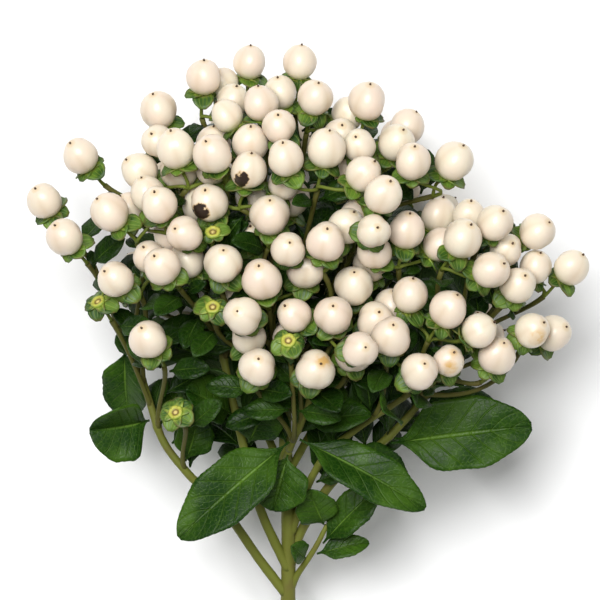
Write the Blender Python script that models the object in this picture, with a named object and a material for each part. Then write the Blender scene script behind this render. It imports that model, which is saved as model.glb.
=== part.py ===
"""Cut stem of hypericum with ivory berries, lying on its back on a flat surface.

The layout is worked out in millimetres: X across the head, Y from the cut end towards the head and Z up from
the surface, with zero at the middle of the head. Meshes are made in metres, with the origin under the middle
of the whole stem. The cut end and two berries at the back of the head carry it.
"""

import math
import random
from dataclasses import dataclass, field

import bmesh
import bpy
import numpy as np
from mathutils import Vector
from mathutils.bvhtree import BVHTree

# Driving dimensions, in millimetres
MM = 0.001
SEED = 11
TABLE_Z = -42.7
ORIGIN = Vector((2.6, 47.9, TABLE_Z))
HEAD_CENTRE = Vector((2.0, 105.0, 0.0))
HEAD_HALF_WIDTH = 99.0
HEAD_HALF_HEIGHT = 81.0
FRONT_DEPTH = 50.0
BACK_DEPTH = 37.0
FRONT_FOCUS = Vector((-3.0, 15.0, -72.0))
BACK_FOCUS = Vector((-3.0, 45.0, -8.0))

BERRY_RADIUS = 5.5
BERRY_RADIUS_FRONT = 6.5
BERRY_RADIUS_SPREAD = 0.3
LATERAL_SIZES = (0.865, 0.957)
BERRY_STRETCH = 1.05
CALYX_HEIGHT = 1.2
CALYX_REACH = 3.0
PEDICEL_LENGTH = 8.0
PEDICEL_RADIUS = 0.65
PEDICEL_TOP_RADIUS = 0.975
TWIG_RADIUS = 0.85
SEPAL_LENGTH = 6.6
SEPAL_NOTCH = 2.3
SEPAL_HALF_ANGLE = math.radians(25)
SEPAL_SHARES = (1.0, 0.82, 0.96, 0.74, 0.88)
SEPAL_SHORTENINGS = (1.0, 0.85, 0.7, 0.55)
SEPAL_EXTRA_BENDS = (0, 25, 50, -30)
SEPAL_BALL = 0.4
SEPAL_MIDDLE_BALL = 0.8
SEPAL_CLEARANCE = 0.55
LATERAL_STEP = 137.5
LATERAL_REACH = 2.1
LATERAL_SET_BACK = 4.5
LATERAL_LEAN = 0.45
LATERAL_LEAN_SPREAD = 0.15
CYME_LEAN_SPREAD = 0.22
BARE_SIZE = 0.5

GAP = 0.4
FAR = 99.0
BERRY_GAP = 0.7
STEM_GAP = 0.8
TABLE_GAP = 1.2
TWIG_GAP = 1.0
PEDICEL_GAP = 0.8
FOOT_SINK = 0.5

LEAF_THICKNESS = 0.7
LEAF_SEAT = 0.8
LEAF_ROWS = 7
LEAF_COLUMNS = 3

MAIN_SIDES = 8
BRANCH_SIDES = 5
TWIG_SIDES = 4
PEDICEL_SIDES = 4
BERRY_SIDES = 8
BRANCH_STEP = 12.0
CURVE_PARTS = 24
FINE_STEP = 0.5
OBSTACLE_STEP = 1.5
TWIG_START_STEP = 4.0
BARE_DOME_RADIUS = 2.3
BARE_DOME_BASE = 0.5
BARE_DOME_TOP = 1.3
BERRY_RINGS = tuple(math.radians(a) for a in (24, 60, 98, 138))
SHARP_ANGLE = math.radians(60)

# Colour, roughness
STEM_FINISH = ((0.20, 0.24, 0.05), 0.55)
BERRY_FINISH = ((0.83, 0.76, 0.62), 0.30)
SEPAL_FINISH = ((0.07, 0.16, 0.03), 0.50)
LEAF_FINISH = ((0.02, 0.07, 0.015), 0.40)


@dataclass(frozen=True)
class Branch:
    """A woody shoot: what it passes through, its radii, and the share of it that belongs to the stem."""

    name: str
    route: tuple
    root_radius: float
    tip_radius: float
    split: float


MAIN = Branch(
    "main",
    ((-6, -88, -40.3), (-5, -40, -27), (-4, 0, -13), (-4, 30, -4), (-5, 60, 2), (-4, 90, 2)),
    3.0,
    1.9,
    1.0,
)

SHOOTS = (
    Branch("left_arm", ((-5, 2, -12), (-14, 14, -8), (-23, 27, -2), (-31, 36, 2), (-38, 43, 5),
                        (-46, 54, 6), (-52, 72, 7), (-61, 93, 6), (-69, 112, 6)), 1.7, 0.95, 0.38),
    Branch("left_upper", ((-4, 10, -9), (-12, 27, -2), (-16, 40, 4), (-22, 65, 8), (-28, 92, 9),
                          (-34, 115, 9), (-40, 138, 6)), 1.7, 0.95, 0.40),
    Branch("top_left", ((-4, 62, 2), (-9, 85, 6), (-15, 115, 4), (-20, 142, 2)), 1.5, 0.9, 0.22),
    Branch("crown", ((-4, 90, 2), (-1, 115, 1), (0, 135, 0), (0, 150, 0)), 1.6, 0.95, 0.0),
    Branch("right_upper", ((-4, 66, 2), (6, 92, 4), (16, 115, 4), (26, 133, 2)), 1.5, 0.9, 0.22),
    Branch("right_arm", ((-3, 12, -9), (0, 22, -7), (4, 29, -5), (9, 37, -2), (16, 44, 0), (29, 54, 4),
                         (40, 66, 6), (54, 84, 6), (67, 100, 5)), 1.7, 0.95, 0.36),
    Branch("right_low", ((-3, 22, -6), (1, 34, -1), (5, 43, 5), (10, 50, 11), (20, 58, 17), (32, 66, 22),
                         (44, 74, 24)), 1.5, 0.9, 0.38),
    Branch("front_upper", ((-4, 60, 2), (-7, 74, 13), (-9, 92, 23), (-8, 110, 29)), 1.4, 0.9, 0.22),
    Branch("front_lower", ((-5, 44, 0), (-4, 49, 7), (-2, 54, 14), (2, 63, 22), (5, 74, 30)), 1.4, 0.9, 0.24),
    Branch("back_left", ((-5, 40, -1), (-14, 62, -10), (-28, 88, -16), (-42, 108, -18)), 1.4, 0.9, 0.25),
    Branch("back_right", ((-3, 44, 0), (10, 66, -10), (28, 90, -16), (46, 106, -18)), 1.4, 0.9, 0.25),
    Branch("back_upper", ((-4, 76, 2), (-2, 98, -10), (2, 120, -17), (4, 136, -18)), 1.4, 0.9, 0.20),
)

# A short shoot low on the right that bears only leaves
LEAFY_SHOOT = Branch(
    "leafy_shoot",
    ((-3, 3, -12), (-1, 8, -9), (3, 14, -6), (6, 19, -4), (9, 25, -3)),
    1.2,
    0.8,
    1.0,
)
WOOD = (MAIN, LEAFY_SHOOT, *SHOOTS)

# The cymes that show, by shoot: x, y, share of the head's depth, berries, roll of the first side berry
CYMES = {
    "left_arm": ((-85, 133, 1.0, 1, 0), (-78, 121, 0.9, 1, 0), (-63, 129, 1.0, 2, 45),
                 (-61, 107, 1.0, 2, 40), (-50, 87, 1.0, 1, 0)),
    "left_upper": ((-47, 163, 1.0, 2, -80), (-41, 150, 1.0, 3, 54), (-29, 148, 1.0, 3, 37),
                   (-46, 131, 1.0, 3, 15), (-45, 112, 1.0, 2, 100), (-30, 132, 0.9, 2, 230),
                   (-73, 148, 0.6, 1, 0)),
    "top_left": ((-32, 174, 1.0, 2, -60), (-17, 179, 0.6, 2, -113), (-13, 165, 1.0, 3, 150)),
    "crown": ((0, 179, 1.0, 1, 0), (5, 167, 1.0, 3, 0), (9, 150, 1.0, 3, 200)),
    "right_upper": ((21, 165, 1.0, 2, -110), (32, 152, 1.0, 3, 60), (51, 146, 1.0, 2, 195),
                    (27, 135, 1.0, 3, 115), (19, 128, 0.8, 1, 0)),
    "front_upper": ((-17, 143, 1.0, 3, 12), (-15, 134, 0.6, 1, 0), (-10, 128, 0.9, 3, -72),
                    (8, 119, 1.0, 2, 60), (-16, 121, 0.6, 1, 0), (-25, 112, 1.0, 2, 150),
                    (-12, 108, 1.0, 3, 248), (-21, 103, 0.6, 1, 0)),
    "right_arm": ((35, 123, 0.9, 3, 230), (54, 121, 0.9, 3, -42), (66, 122, 1.0, 2, 120),
                  (78, 122, 1.0, 2, 200), (90, 111, 1.0, 2, 200), (72, 105, 1.0, 2, 120)),
    "front_lower": ((11, 95, 1.0, 3, 170), (18, 105, 0.8, 3, -67), (-14, 78, 1.0, 2, 100),
                    (5, 77, 1.0, 2, 117), (18, 83, 1.0, 1, 0)),
    "right_low": ((30, 88, 1.0, 3, -52), (49, 97, 1.0, 3, 0), (49, 80, 1.0, 1, 0), (65, 82, 1.0, 2, 100),
                  (77, 90, 1.0, 1, 0), (84, 89, 0.8, 1, 0)),
}
SMALL_CYMES = ((-16, 121), (-21, 103), (49, 80))
SMALL_SIZE = 0.8

# Calyces that have lost their berry, by shoot: x, y, share of the head's depth
BARE_CALYCES = {
    "left_arm": ((-68, 101, 0.9), (-42, 64, 0.9)),
    "front_upper": ((-29, 124, 1.0), (-29, 99, 0.9)),
    "front_lower": ((-4, 88, 0.95),),
}

# The back of the head is filled by a golden-angle rule
BACK_SHOOTS = ("back_left", "back_right", "back_upper")
BACK_COUNT = 20
BACK_HALF_WIDTH = 69.0
BACK_HALF_HEIGHT = 46.0
BACK_CENTRE = (1.0, 119.0)
FEET = {"left": (-44.0, 134.0), "right": (48.0, 130.0)}

BACK_TURN = 20
BACK_TWINS_EVERY = 3

SPREAD_ROUNDS = 160
SPREAD_HOMING_ROUNDS = 96
SPREAD_HOMING = 0.06
SPREAD_LONGEST_MOVE = 2.0
SPREAD_WEIGHTS = np.array((0.45, 0.45, 1.0))

FIRST_WOOD_OWNER = 10000
FIRST_TWIG_OWNER = 20000


def smooth_route(points, step):
    """Points about a step apart on a smooth curve through the given ones."""
    knots = [Vector(p) for p in points]
    ends = [2 * knots[0] - knots[1], *knots, 2 * knots[-1] - knots[-2]]
    dense = [knots[0]]
    for a, b, c, d in zip(ends, ends[1:], ends[2:], ends[3:]):
        for k in range(1, CURVE_PARTS + 1):
            t = k / CURVE_PARTS
            dense.append(0.5 * (2 * b + (c - a) * t + (2 * a - 5 * b + 4 * c - d) * t**2
                                + (3 * b - a - 3 * c + d) * t**3))
    return resample(dense, step)


def resample(points, step):
    """The same line with evenly spaced points, about a step apart."""
    runs = [0.0]
    for a, b in zip(points, points[1:]):
        runs.append(runs[-1] + (b - a).length)
    count = max(1, round(runs[-1] / step))
    flat = np.array(points)
    wanted = np.linspace(0.0, runs[-1], count + 1)
    return [Vector(p) for p in np.column_stack([np.interp(wanted, runs, flat[:, i]) for i in range(3)])]


def across(axis):
    """Two directions that stand square to the axis and to each other."""
    helper = Vector((1, 0, 0)) if abs(axis.x) < 0.8 else Vector((0, 1, 0))
    first = axis.cross(helper).normalized()
    return first, axis.cross(first)


def tangents(points):
    """The direction of a line at each of its points."""
    last = len(points) - 1
    return [(points[min(i + 1, last)] - points[max(i - 1, 0)]).normalized() for i in range(last + 1)]


@dataclass
class Fruit:
    """One berry on its calyx, or a bare calyx, with the pedicel that carries it."""

    branch: str
    cyme: int
    centre: Vector
    axis: Vector
    radius: float
    bare: bool = False
    foot: bool = False
    rank: int = 0
    spin: float = 0.0
    pedicel: list = field(default_factory=list)
    sepals: list = field(default_factory=list)

    @property
    def seat(self):
        """Where the berry sits on its calyx."""
        return self.centre - self.axis * self.radius * BERRY_STRETCH

    @property
    def calyx(self):
        """Where the pedicel ends under the calyx."""
        return self.seat - self.axis * CALYX_HEIGHT


@dataclass
class Twig:
    """The shoot between a branch and the fork of one cyme."""

    branch: str
    points: list


class Obstacles:
    """What is already in place, as rows of balls with owners."""

    def __init__(self):
        self.rows = []

    def add(self, points, radius, owner):
        """Takes a row of balls of one radius, or of a radius each."""
        radii = radius if hasattr(radius, "__len__") else [radius] * len(points)
        self.rows += [(*p, r, owner) for p, r in zip(points, radii)]

    def near(self, place, reach, skip=()):
        """The balls within reach of a place, without the owners to skip."""
        table = np.array(self.rows)
        apart = np.sqrt(((table[:, :3] - np.array(place)) ** 2).sum(axis=1)) - table[:, 3]
        return table[(apart < reach) & ~np.isin(table[:, 4], list(skip))]


def clearance(points, near):
    """The smallest distance from each line of points, or from one line, to the balls near it."""
    apart = np.asarray(points)[..., None, :] - near[:, :3]
    return (np.sqrt((apart**2).sum(axis=-1)) - near[:, 3]).min(axis=(-1, -2), initial=FAR)


def depth_at(x, y, depth):
    """Height of the head's surface over a place, with the share counted back from the front if negative."""
    inside = 1 - ((x - HEAD_CENTRE.x) / HEAD_HALF_WIDTH) ** 2 - ((y - HEAD_CENTRE.y) / HEAD_HALF_HEIGHT) ** 2
    return depth * (FRONT_DEPTH if depth > 0 else BACK_DEPTH) * math.sqrt(max(inside, 0.02))


def cyme_fruits(rng, branch, cyme, place, depth, count, roll, size=1.0):
    """The end berry of a cyme and its side berries, a little further back."""
    centre = Vector((*place, depth_at(*place, depth)))
    lean = Vector([rng.uniform(-CYME_LEAN_SPREAD, CYME_LEAN_SPREAD) for _ in range(3)])
    focus = FRONT_FOCUS if depth > 0 else BACK_FOCUS
    axis = ((centre - focus).normalized() + lean).normalized()
    forward = max(0.0, centre.z) / FRONT_DEPTH
    radius = BERRY_RADIUS + (BERRY_RADIUS_FRONT - BERRY_RADIUS) * forward
    radius = size * (radius + rng.uniform(-1, 1) * BERRY_RADIUS_SPREAD)
    made = [Fruit(branch, cyme, centre, axis, radius, spin=rng.uniform(0, math.tau))]
    for k in range(count - 1):
        turn = math.radians(roll + LATERAL_STEP * k)
        flat = Vector((math.cos(turn), math.sin(turn), 0))
        side = (flat - axis * flat.dot(axis)).normalized()
        where = centre + side * LATERAL_REACH * radius - axis * LATERAL_SET_BACK
        lean = Vector([rng.uniform(-LATERAL_LEAN_SPREAD, LATERAL_LEAN_SPREAD) for _ in range(3)])
        facing = (axis + LATERAL_LEAN * side + lean).normalized()
        smaller = radius * rng.uniform(*LATERAL_SIZES)
        made.append(Fruit(branch, cyme, where, facing, smaller, rank=k + 1, spin=rng.uniform(0, math.tau)))
    return made


def nearest_back_shoot(x, y):
    """The back shoot whose tip is nearest to a place."""
    tips = {b.name: Vector(b.route[-1]) for b in SHOOTS if b.name in BACK_SHOOTS}
    return min(tips, key=lambda name: (tips[name] - Vector((x, y, tips[name].z))).length)


def grow_fruits(rng):
    """All berries and bare calyces, where they would be if nothing pushed them apart."""
    fruits = []
    cyme = 0
    for branch, rows in CYMES.items():
        for x, y, depth, count, roll in rows:
            size = SMALL_SIZE if (x, y) in SMALL_CYMES else 1.0
            fruits += cyme_fruits(rng, branch, cyme, (x, y), depth, count, roll, size)
            cyme += 1
    for branch, rows in BARE_CALYCES.items():
        for x, y, depth in rows:
            fruits += cyme_fruits(rng, branch, cyme, (x, y), depth, 1, 0, BARE_SIZE)
            fruits[-1].bare = True
            cyme += 1
    for x, y in FEET.values():
        fruits += cyme_fruits(rng, nearest_back_shoot(x, y), cyme, (x, y), -1.0, 1, 0)
        fruits[-1].foot = True
        cyme += 1
    for k in range(BACK_COUNT):
        turn = math.radians(LATERAL_STEP * k + BACK_TURN)
        out = math.sqrt((k + 0.5) / BACK_COUNT)
        x = BACK_CENTRE[0] + BACK_HALF_WIDTH * out * math.cos(turn)
        y = BACK_CENTRE[1] + BACK_HALF_HEIGHT * out * math.sin(turn)
        count = 2 if k % BACK_TWINS_EVERY == 0 else 1
        fruits += cyme_fruits(rng, nearest_back_shoot(x, y), cyme, (x, y), -1.0, count, 360 * rng.random())
        cyme += 1
    return fruits


def push_apart(points, radii, others, other_radii, gap, same):
    """How far each point has to move away from the others, and how far the others from it."""
    apart = points[:, None] - others[None]
    distance = np.sqrt((apart**2).sum(axis=2)) + 1e-9
    short = np.clip(radii[:, None] + other_radii[None] + gap - distance, 0, None)
    if same:
        np.fill_diagonal(short, 0)
    moves = apart / distance[..., None] * short[..., None] * 0.5
    return moves.sum(axis=1), -moves.sum(axis=0)


def spread_fruits(fruits, wood):
    """Moves the berries, mostly in depth, until they clear each other, the calyces and the wood."""
    homes = np.array([f.centre for f in fruits])
    centres = homes.copy()
    axes = np.array([f.axis for f in fruits])
    radii = np.array([f.radius for f in fruits])
    feet = np.array([f.foot for f in fruits])
    drop = radii * BERRY_STRETCH + CALYX_HEIGHT * 0.5
    calyx_radii = np.full(len(fruits), CALYX_REACH)
    lowest = TABLE_Z + radii + TABLE_GAP
    for turn in range(SPREAD_ROUNDS):
        calyces = centres - axes * drop[:, None]
        own, _ = push_apart(centres, radii, centres, radii, BERRY_GAP, True)
        berry, calyx = push_apart(centres, radii, calyces, calyx_radii, BERRY_GAP, True)
        stem, _ = push_apart(centres, radii, wood[:, :3], wood[:, 3], STEM_GAP, False)
        moves = (own + berry + calyx + 2 * stem) * SPREAD_WEIGHTS
        centres += np.clip(moves, -SPREAD_LONGEST_MOVE, SPREAD_LONGEST_MOVE)
        if turn < SPREAD_HOMING_ROUNDS:
            centres[:, :2] += SPREAD_HOMING * (homes - centres)[:, :2]
        centres[:, 2] = np.where(feet, TABLE_Z + radii - FOOT_SINK, np.maximum(centres[:, 2], lowest))
    for fruit, centre in zip(fruits, centres):
        fruit.centre = Vector(centre)


def branch_line(branch, step=OBSTACLE_STEP):
    """Points along a branch with its radius at each."""
    line = smooth_route(branch.route, step)
    radii = [branch.root_radius + (branch.tip_radius - branch.root_radius) * i / (len(line) - 1)
             for i in range(len(line))]
    return line, radii


def fork_of(members):
    """Where a cyme forks: below its end berry."""
    first = members[0]
    return first.calyx - first.axis * PEDICEL_LENGTH


CURVE_POINTS = 13
CURVE_PENALTY = 40
TWIG_SKIP = 4
TWIG_REACH = 55.0
SHORTEST_TWIG = 4.0
TWIG_BENDS = (0.12, 0.25)
PEDICEL_SKIP = 6
PEDICEL_BENDS = (0.15, 0.3)
CURVE_SHARES = np.linspace(0, 1, CURVE_POINTS)
CURVE_BASIS = np.column_stack([(1 - CURVE_SHARES) ** 3, 3 * (1 - CURVE_SHARES) ** 2 * CURVE_SHARES,
                               3 * (1 - CURVE_SHARES) * CURVE_SHARES**2, CURVE_SHARES**3])


def clearest_curve(handles, costs, near, radius, gap):
    """The points of the cheapest curve, where coming nearer than the gap to anything costs dear."""
    lines = CURVE_BASIS @ np.array(handles)
    free = clearance(lines[:, 1:-1], near) - radius
    crowding = np.clip(gap - free, 0, None) * CURVE_PENALTY
    best = int(np.argmin(np.array(costs) + crowding))
    return [Vector(p) for p in lines[best]]


def grow_twig(branch, members, obstacles, skip):
    """The twig from the branch's flowering part to the cyme's fork that keeps clearest of all else."""
    line, _ = branch_line(branch, TWIG_START_STEP)
    ways = tangents(line)
    axis = members[0].axis
    end = fork_of(members)
    handles = []
    costs = []
    for i in range(int(branch.split * len(line)) + 2, len(line)):
        span = (end - line[i]).length
        if span < SHORTEST_TWIG or span > TWIG_REACH and i + 1 < len(line):
            continue
        reach = (end - line[i]) / span
        angle = math.degrees(ways[i].angle(reach))
        left, right = across(reach)
        for bulge in (Vector(), left, -left, right, -right):
            for bend in TWIG_BENDS:
                out = line[i] + (ways[i] + 1.5 * reach).normalized() * span * 0.35 + bulge * span * bend
                back = end - (axis + 0.6 * reach).normalized() * span * 0.3 + bulge * span * bend
                handles.append((line[i], out, back, end))
                turn = max(0.0, angle - 40) * 0.5 + math.degrees(reach.angle(axis)) * 0.15
                costs.append(span * 0.6 + turn + bulge.length * bend * 20)
    return clearest_curve(handles, costs, obstacles.near(end, TWIG_REACH, skip), TWIG_RADIUS, TWIG_GAP)


def grow_pedicel(start, way, fruit, obstacles, skip):
    """The stalk from the fork to the calyx that keeps clearest of all else."""
    end = fruit.calyx
    span = (end - start).length
    left, right = across((end - start).normalized())
    handles = []
    costs = []
    for bulge in (Vector(), left, -left, right, -right):
        for bend in PEDICEL_BENDS:
            out = start + way * span * 0.3 + bulge * span * bend
            back = end - fruit.axis * span * 0.35 + bulge * span * bend
            handles.append((start, out, back, end))
            costs.append(bulge.length * bend * 5)
    return clearest_curve(handles, costs, obstacles.near(end, span + 10, skip), PEDICEL_RADIUS, PEDICEL_GAP)


def sepal_lines(fruit, index, length, bend):
    """Notch, shoulders and tip of one sepal lobe, on its upper face."""
    first, second = across(fruit.axis)
    base = fruit.seat + fruit.axis * 0.4
    turn = fruit.spin + math.tau * index / 5

    def place(angle, out, down):
        way = first * math.cos(angle) + second * math.sin(angle)
        return base + way * out - fruit.axis * down

    out = SEPAL_NOTCH + (length - SEPAL_NOTCH) * math.cos(bend)
    down = (length - SEPAL_NOTCH) * math.sin(bend) + 0.3
    narrow = SEPAL_HALF_ANGLE * min(1.0, 5.0 / max(out, 2.6))
    shoulders = [place(turn - narrow, out, down), place(turn + narrow, out, down)]
    return shoulders, place(turn + math.pi / 5, SEPAL_NOTCH, 0.2), place(turn, out, down)


def grow_sepals(rng, fruit, obstacles, skip):
    """Five unequal sepals, each bent back or shortened until it clears its neighbours."""
    near = obstacles.near(fruit.seat, 12, skip)
    for index in range(5):
        wanted = math.radians(rng.uniform(5, 45))
        full = SEPAL_LENGTH * SEPAL_SHARES[index] * rng.uniform(0.94, 1.08)
        best = None
        for share in SEPAL_SHORTENINGS:
            for more in SEPAL_EXTRA_BENDS:
                bend = min(wanted + math.radians(more), math.radians(95))
                shoulders, _, tip = sepal_lines(fruit, index, full * share, bend)
                middle = (tip + fruit.seat) / 2
                free = clearance([*shoulders, tip, middle], near) - SEPAL_BALL
                cost = max(0.0, SEPAL_CLEARANCE - free) * 10 + (1 - share) * 2 + abs(more) / 100
                if best is None or cost < best[0]:
                    best = (cost, full * share, bend)
        fruit.sepals.append(best[1:])
    for index in range(5):
        shoulders, _, tip = sepal_lines(fruit, index, *fruit.sepals[index])
        obstacles.add([*shoulders, tip], SEPAL_BALL, skip[0])
        obstacles.add([(tip + fruit.seat) / 2], SEPAL_MIDDLE_BALL, skip[0])


@dataclass
class Head:
    """The whole layout: fruits, the twig of each cyme, and what is in place."""

    fruits: list
    twigs: list
    obstacles: Obstacles


def grow_head():
    """Fruits and twigs, in an order that any copy of this layout repeats."""
    rng = random.Random(SEED)
    fruits = grow_fruits(rng)
    branches = {b.name: b for b in WOOD}
    owners = {name: FIRST_WOOD_OWNER + i for i, name in enumerate(branches)}
    wood = []
    obstacles = Obstacles()
    for name, branch in branches.items():
        line, radii = branch_line(branch)
        wood += [(*p, r) for p, r in zip(line, radii)]
        obstacles.add(line, radii, owners[name])
    spread_fruits(fruits, np.array(wood))
    for i, fruit in enumerate(fruits):
        if not fruit.bare:
            obstacles.add([fruit.centre], fruit.radius, i)
        obstacles.add([fruit.seat - fruit.axis * 0.6], CALYX_REACH, i)
    twigs = []
    for cyme in range(fruits[-1].cyme + 1):
        rows = [i for i, f in enumerate(fruits) if f.cyme == cyme]
        members = [fruits[i] for i in rows]
        branch = branches[members[0].branch]
        owner = FIRST_TWIG_OWNER + cyme
        points = grow_twig(branch, members, obstacles, [*rows, owners[branch.name]])
        obstacles.add(resample(points[::TWIG_SKIP], OBSTACLE_STEP), TWIG_RADIUS, owner)
        twigs.append(Twig(branch.name, points))
        way = (points[-1] - points[-2]).normalized()
        for i in rows:
            skip = [i, owner, owners[branch.name]]
            fruits[i].pedicel = grow_pedicel(points[-1], way, fruits[i], obstacles, skip)
            stalk = resample(fruits[i].pedicel[::PEDICEL_SKIP], OBSTACLE_STEP)
            obstacles.add(stalk, PEDICEL_RADIUS, i)
    for i, fruit in enumerate(fruits):
        grow_sepals(rng, fruit, obstacles, [i])
    return Head(fruits, twigs, obstacles)


@dataclass
class Leaf:
    """A blade from its base to its tip, with the side that faces up, its width, droop and fold."""

    name: str
    branch: str
    base: Vector
    tip: Vector
    face: Vector
    width: float
    droop: float = 0.5
    fold: float = 0.25
    phase: float = 0.0


# Leaves that show: shoot, base, tip, upward side, width, fold
SHOWN_LEAVES = (
    ("left_arm", (-46, 62, 7), (-70, 57, 14), (-0.1, -0.5, 1), 24, 0.5),
    ("front_lower", (-3, 54, 14), (-40, 21, 19), (-0.1, 0.2, 1), 21, 0.25),
    ("front_lower", (2, 54, 14), (43, 34, 18), (0.1, 0.3, 1), 17, 0.25),
    ("front_lower", (-3, 50, 8), (-9, 30, 9), (0, 0.2, 1), 20, 0.25),
    ("right_arm", (30, 53, 5), (77, 58, 10), (0.1, 0.1, 1), 25, 0.2),
    ("right_arm", (36, 62, 3), (66, 64, -8), (0.1, 0.5, 1), 16, 0.25),
    ("leafy_shoot", (7, 20, -4), (27, 38, 2), (-0.3, 0.2, 1), 13, 0.25),
    ("leafy_shoot", (9, 25, -3), (3, 37, 8), (0, -0.3, 1), 14, 0.25),
    ("leafy_shoot", (5, 16, -5), (23, 19, -2), (0, 0.3, 1), 8, 0.25),
    ("leafy_shoot", (3, 14, -6), (-3, 18, 2), (0, 0.3, 1), 8, 0.25),
    ("left_arm", (-57, 85, 4), (-57, 61, -4), (-0.3, 0, 1), 16, 0.25),
    ("left_upper", (-22, 62, 8), (-38, 70, 20), (0, 0.5, 1), 17, 0.25),
    ("left_upper", (-19, 52, 6), (-10, 68, 20), (0, -0.5, 1), 16, 0.25),
    ("left_arm", (-40, 46, 5), (-34, 62, 14), (0.4, -0.2, 1), 14, 0.25),
)

# Opposite pairs by rule: shoot, shares of its length, turn of the first pair, length
PAIRED_LEAVES = (
    ("front_lower", (0.5, 0.8), 25, 26),
    ("right_low", (0.50, 0.76), 100, 30),
    ("left_upper", (0.40, 0.56, 0.72), 0, 34),
    ("right_arm", (0.50, 0.66, 0.82), 80, 32),
    ("left_arm", (0.56,), 0, 30),
    ("left_arm", (0.68,), 20, 28),
    ("front_upper", (0.45, 0.75), 80, 28),
    ("top_left", (0.35, 0.65), 60, 32),
    ("right_upper", (0.35, 0.65), 30, 32),
    ("crown", (0.25,), 10, 30),
    ("back_left", (0.4, 0.7), 40, 34),
    ("back_right", (0.4, 0.7), 40, 34),
    ("back_upper", (0.5,), 0, 32),
)
MOST_LEAVES = 45
LEAF_WIDTH_SHARE = 0.55
LEAF_TAPER = 0.30
LEAF_WIDEST_POWER = 1.1
LEAF_BLUNTNESS = 0.58
LEAF_WAVE = 0.09
LEAF_BASE_HALF_WIDTH = 0.3
LEAF_TURN_TO_LIGHT = 1.2
LEAF_CLEARANCE = 0.8
LEAF_BASE_CLEARANCE = 0.06
LEAF_OUTLINE = 0.74
LEAF_OUTLINE_BOTTOM = 58.0
LEAF_LOW_TOP = 12.0
LEAF_TEST_THICKNESS = 1.8
LEAF_REACH = 52.0
LEAF_COARSE_ROWS = 5
LEAF_FINE_ROWS = 13
LEAF_FINE_COLUMNS = 7
LEAF_PHASE_STEP = 1.7
LEAF_SHRINK = 0.12
CRENATE = 0.035


def leaf_half_width(leaf, u):
    """Half the blade's width at a share of its length: oval, with a tapered base and a blunt tip."""
    crenate = 1 + CRENATE * math.cos(u * math.pi * (LEAF_ROWS - 1))
    taper = min(1.0, u / LEAF_TAPER) ** 2 * (3 - 2 * min(1.0, u / LEAF_TAPER))
    oval = math.sin(math.pi * min(u, 0.995) ** LEAF_WIDEST_POWER) ** LEAF_BLUNTNESS
    return max(LEAF_BASE_HALF_WIDTH, leaf.width / 2 * oval * taper * crenate)


def leaf_point(leaf, u, v):
    """A place on the blade's middle surface: u from base to tip, v from edge to edge."""
    chord = leaf.tip - leaf.base
    along = chord.normalized()
    side = along.cross(leaf.face).normalized()
    up = side.cross(along)
    half = leaf.droop / 2
    start = along * math.cos(half) + up * math.sin(half)
    rise = up * math.cos(half) - along * math.sin(half)
    length = chord.length * half / math.sin(half)
    turn = leaf.droop * u
    spine = leaf.base + length / leaf.droop * (start * math.sin(turn) - rise * (1 - math.cos(turn)))
    lift = rise * math.cos(turn) + start * math.sin(turn)
    out = leaf_half_width(leaf, u) * v
    wave = LEAF_WAVE * abs(out) * math.sin(9 * u + leaf.phase + 1.5 * v)
    return spine + side * out * math.cos(leaf.fold) + lift * (abs(out) * math.sin(leaf.fold) + wave)


def leaf_grid(leaf, rows, columns):
    """The blade's middle surface as rows of places."""
    return [[leaf_point(leaf, i / (rows - 1), 2 * j / (columns - 1) - 1) for j in range(columns)]
            for i in range(rows)]


def sticks_out(place):
    """Whether a leaf's tip shows outside the head, or stands in front of the large leaves below it."""
    if place.y < LEAF_OUTLINE_BOTTOM:
        return place.z > LEAF_LOW_TOP
    out = math.hypot((place.x - HEAD_CENTRE.x) / HEAD_HALF_WIDTH, (place.y - HEAD_CENTRE.y) / HEAD_HALF_HEIGHT)
    return out > LEAF_OUTLINE


def leaf_tree(leaf):
    """A thick form of the blade, to see whether two blades would touch."""
    grid = leaf_grid(leaf, LEAF_ROWS, LEAF_COLUMNS)
    corners = []
    faces = []
    for i, (row, after) in enumerate(zip(grid, grid[1:])):
        for j in range(LEAF_COLUMNS - 1):
            a, b, c, d = row[j], row[j + 1], after[j + 1], after[j]
            lift = (b - a).cross(d - a).normalized() * LEAF_TEST_THICKNESS / 2
            start = len(corners)
            corners += [p + s * lift for s in (1, -1) for p in (a, b, c, d)]
            faces += [tuple(start + k for k in face) for face in
                      ((0, 1, 2), (0, 2, 3), (4, 6, 5), (4, 7, 6), (0, 4, 5), (0, 5, 1), (2, 6, 7), (2, 7, 3),
                       (0, 3, 7), (0, 7, 4), (1, 5, 6), (1, 6, 2))]
    return BVHTree.FromPolygons(corners, faces)


def leaf_fits(leaf, near, trees):
    """The blade's thick form if it clears what is in place, and None if it doesn't."""
    middle = (leaf.base + leaf.tip) / 2
    apart = np.sqrt(((near[:, :3] - np.array(middle)) ** 2).sum(axis=1)) - near[:, 3]
    near = near[apart < (leaf.tip - leaf.base).length / 2 + 4]
    coarse = leaf_grid(leaf, LEAF_COARSE_ROWS, LEAF_COLUMNS)
    if clearance([p for row in coarse[1:] for p in row], near) < LEAF_CLEARANCE + LEAF_THICKNESS / 2:
        return None
    grid = leaf_grid(leaf, LEAF_FINE_ROWS, LEAF_FINE_COLUMNS)
    if min(p.z for row in grid for p in row) < TABLE_Z + TABLE_GAP:
        return None
    if clearance([p for row in grid[3:] for p in row], near) < LEAF_CLEARANCE + LEAF_THICKNESS / 2:
        return None
    if clearance([p for row in grid[:3] for p in row], near) < LEAF_BASE_CLEARANCE + LEAF_THICKNESS / 2:
        return None
    tree = leaf_tree(leaf)
    return None if any(tree.overlap(other) for other in trees) else tree


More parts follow.
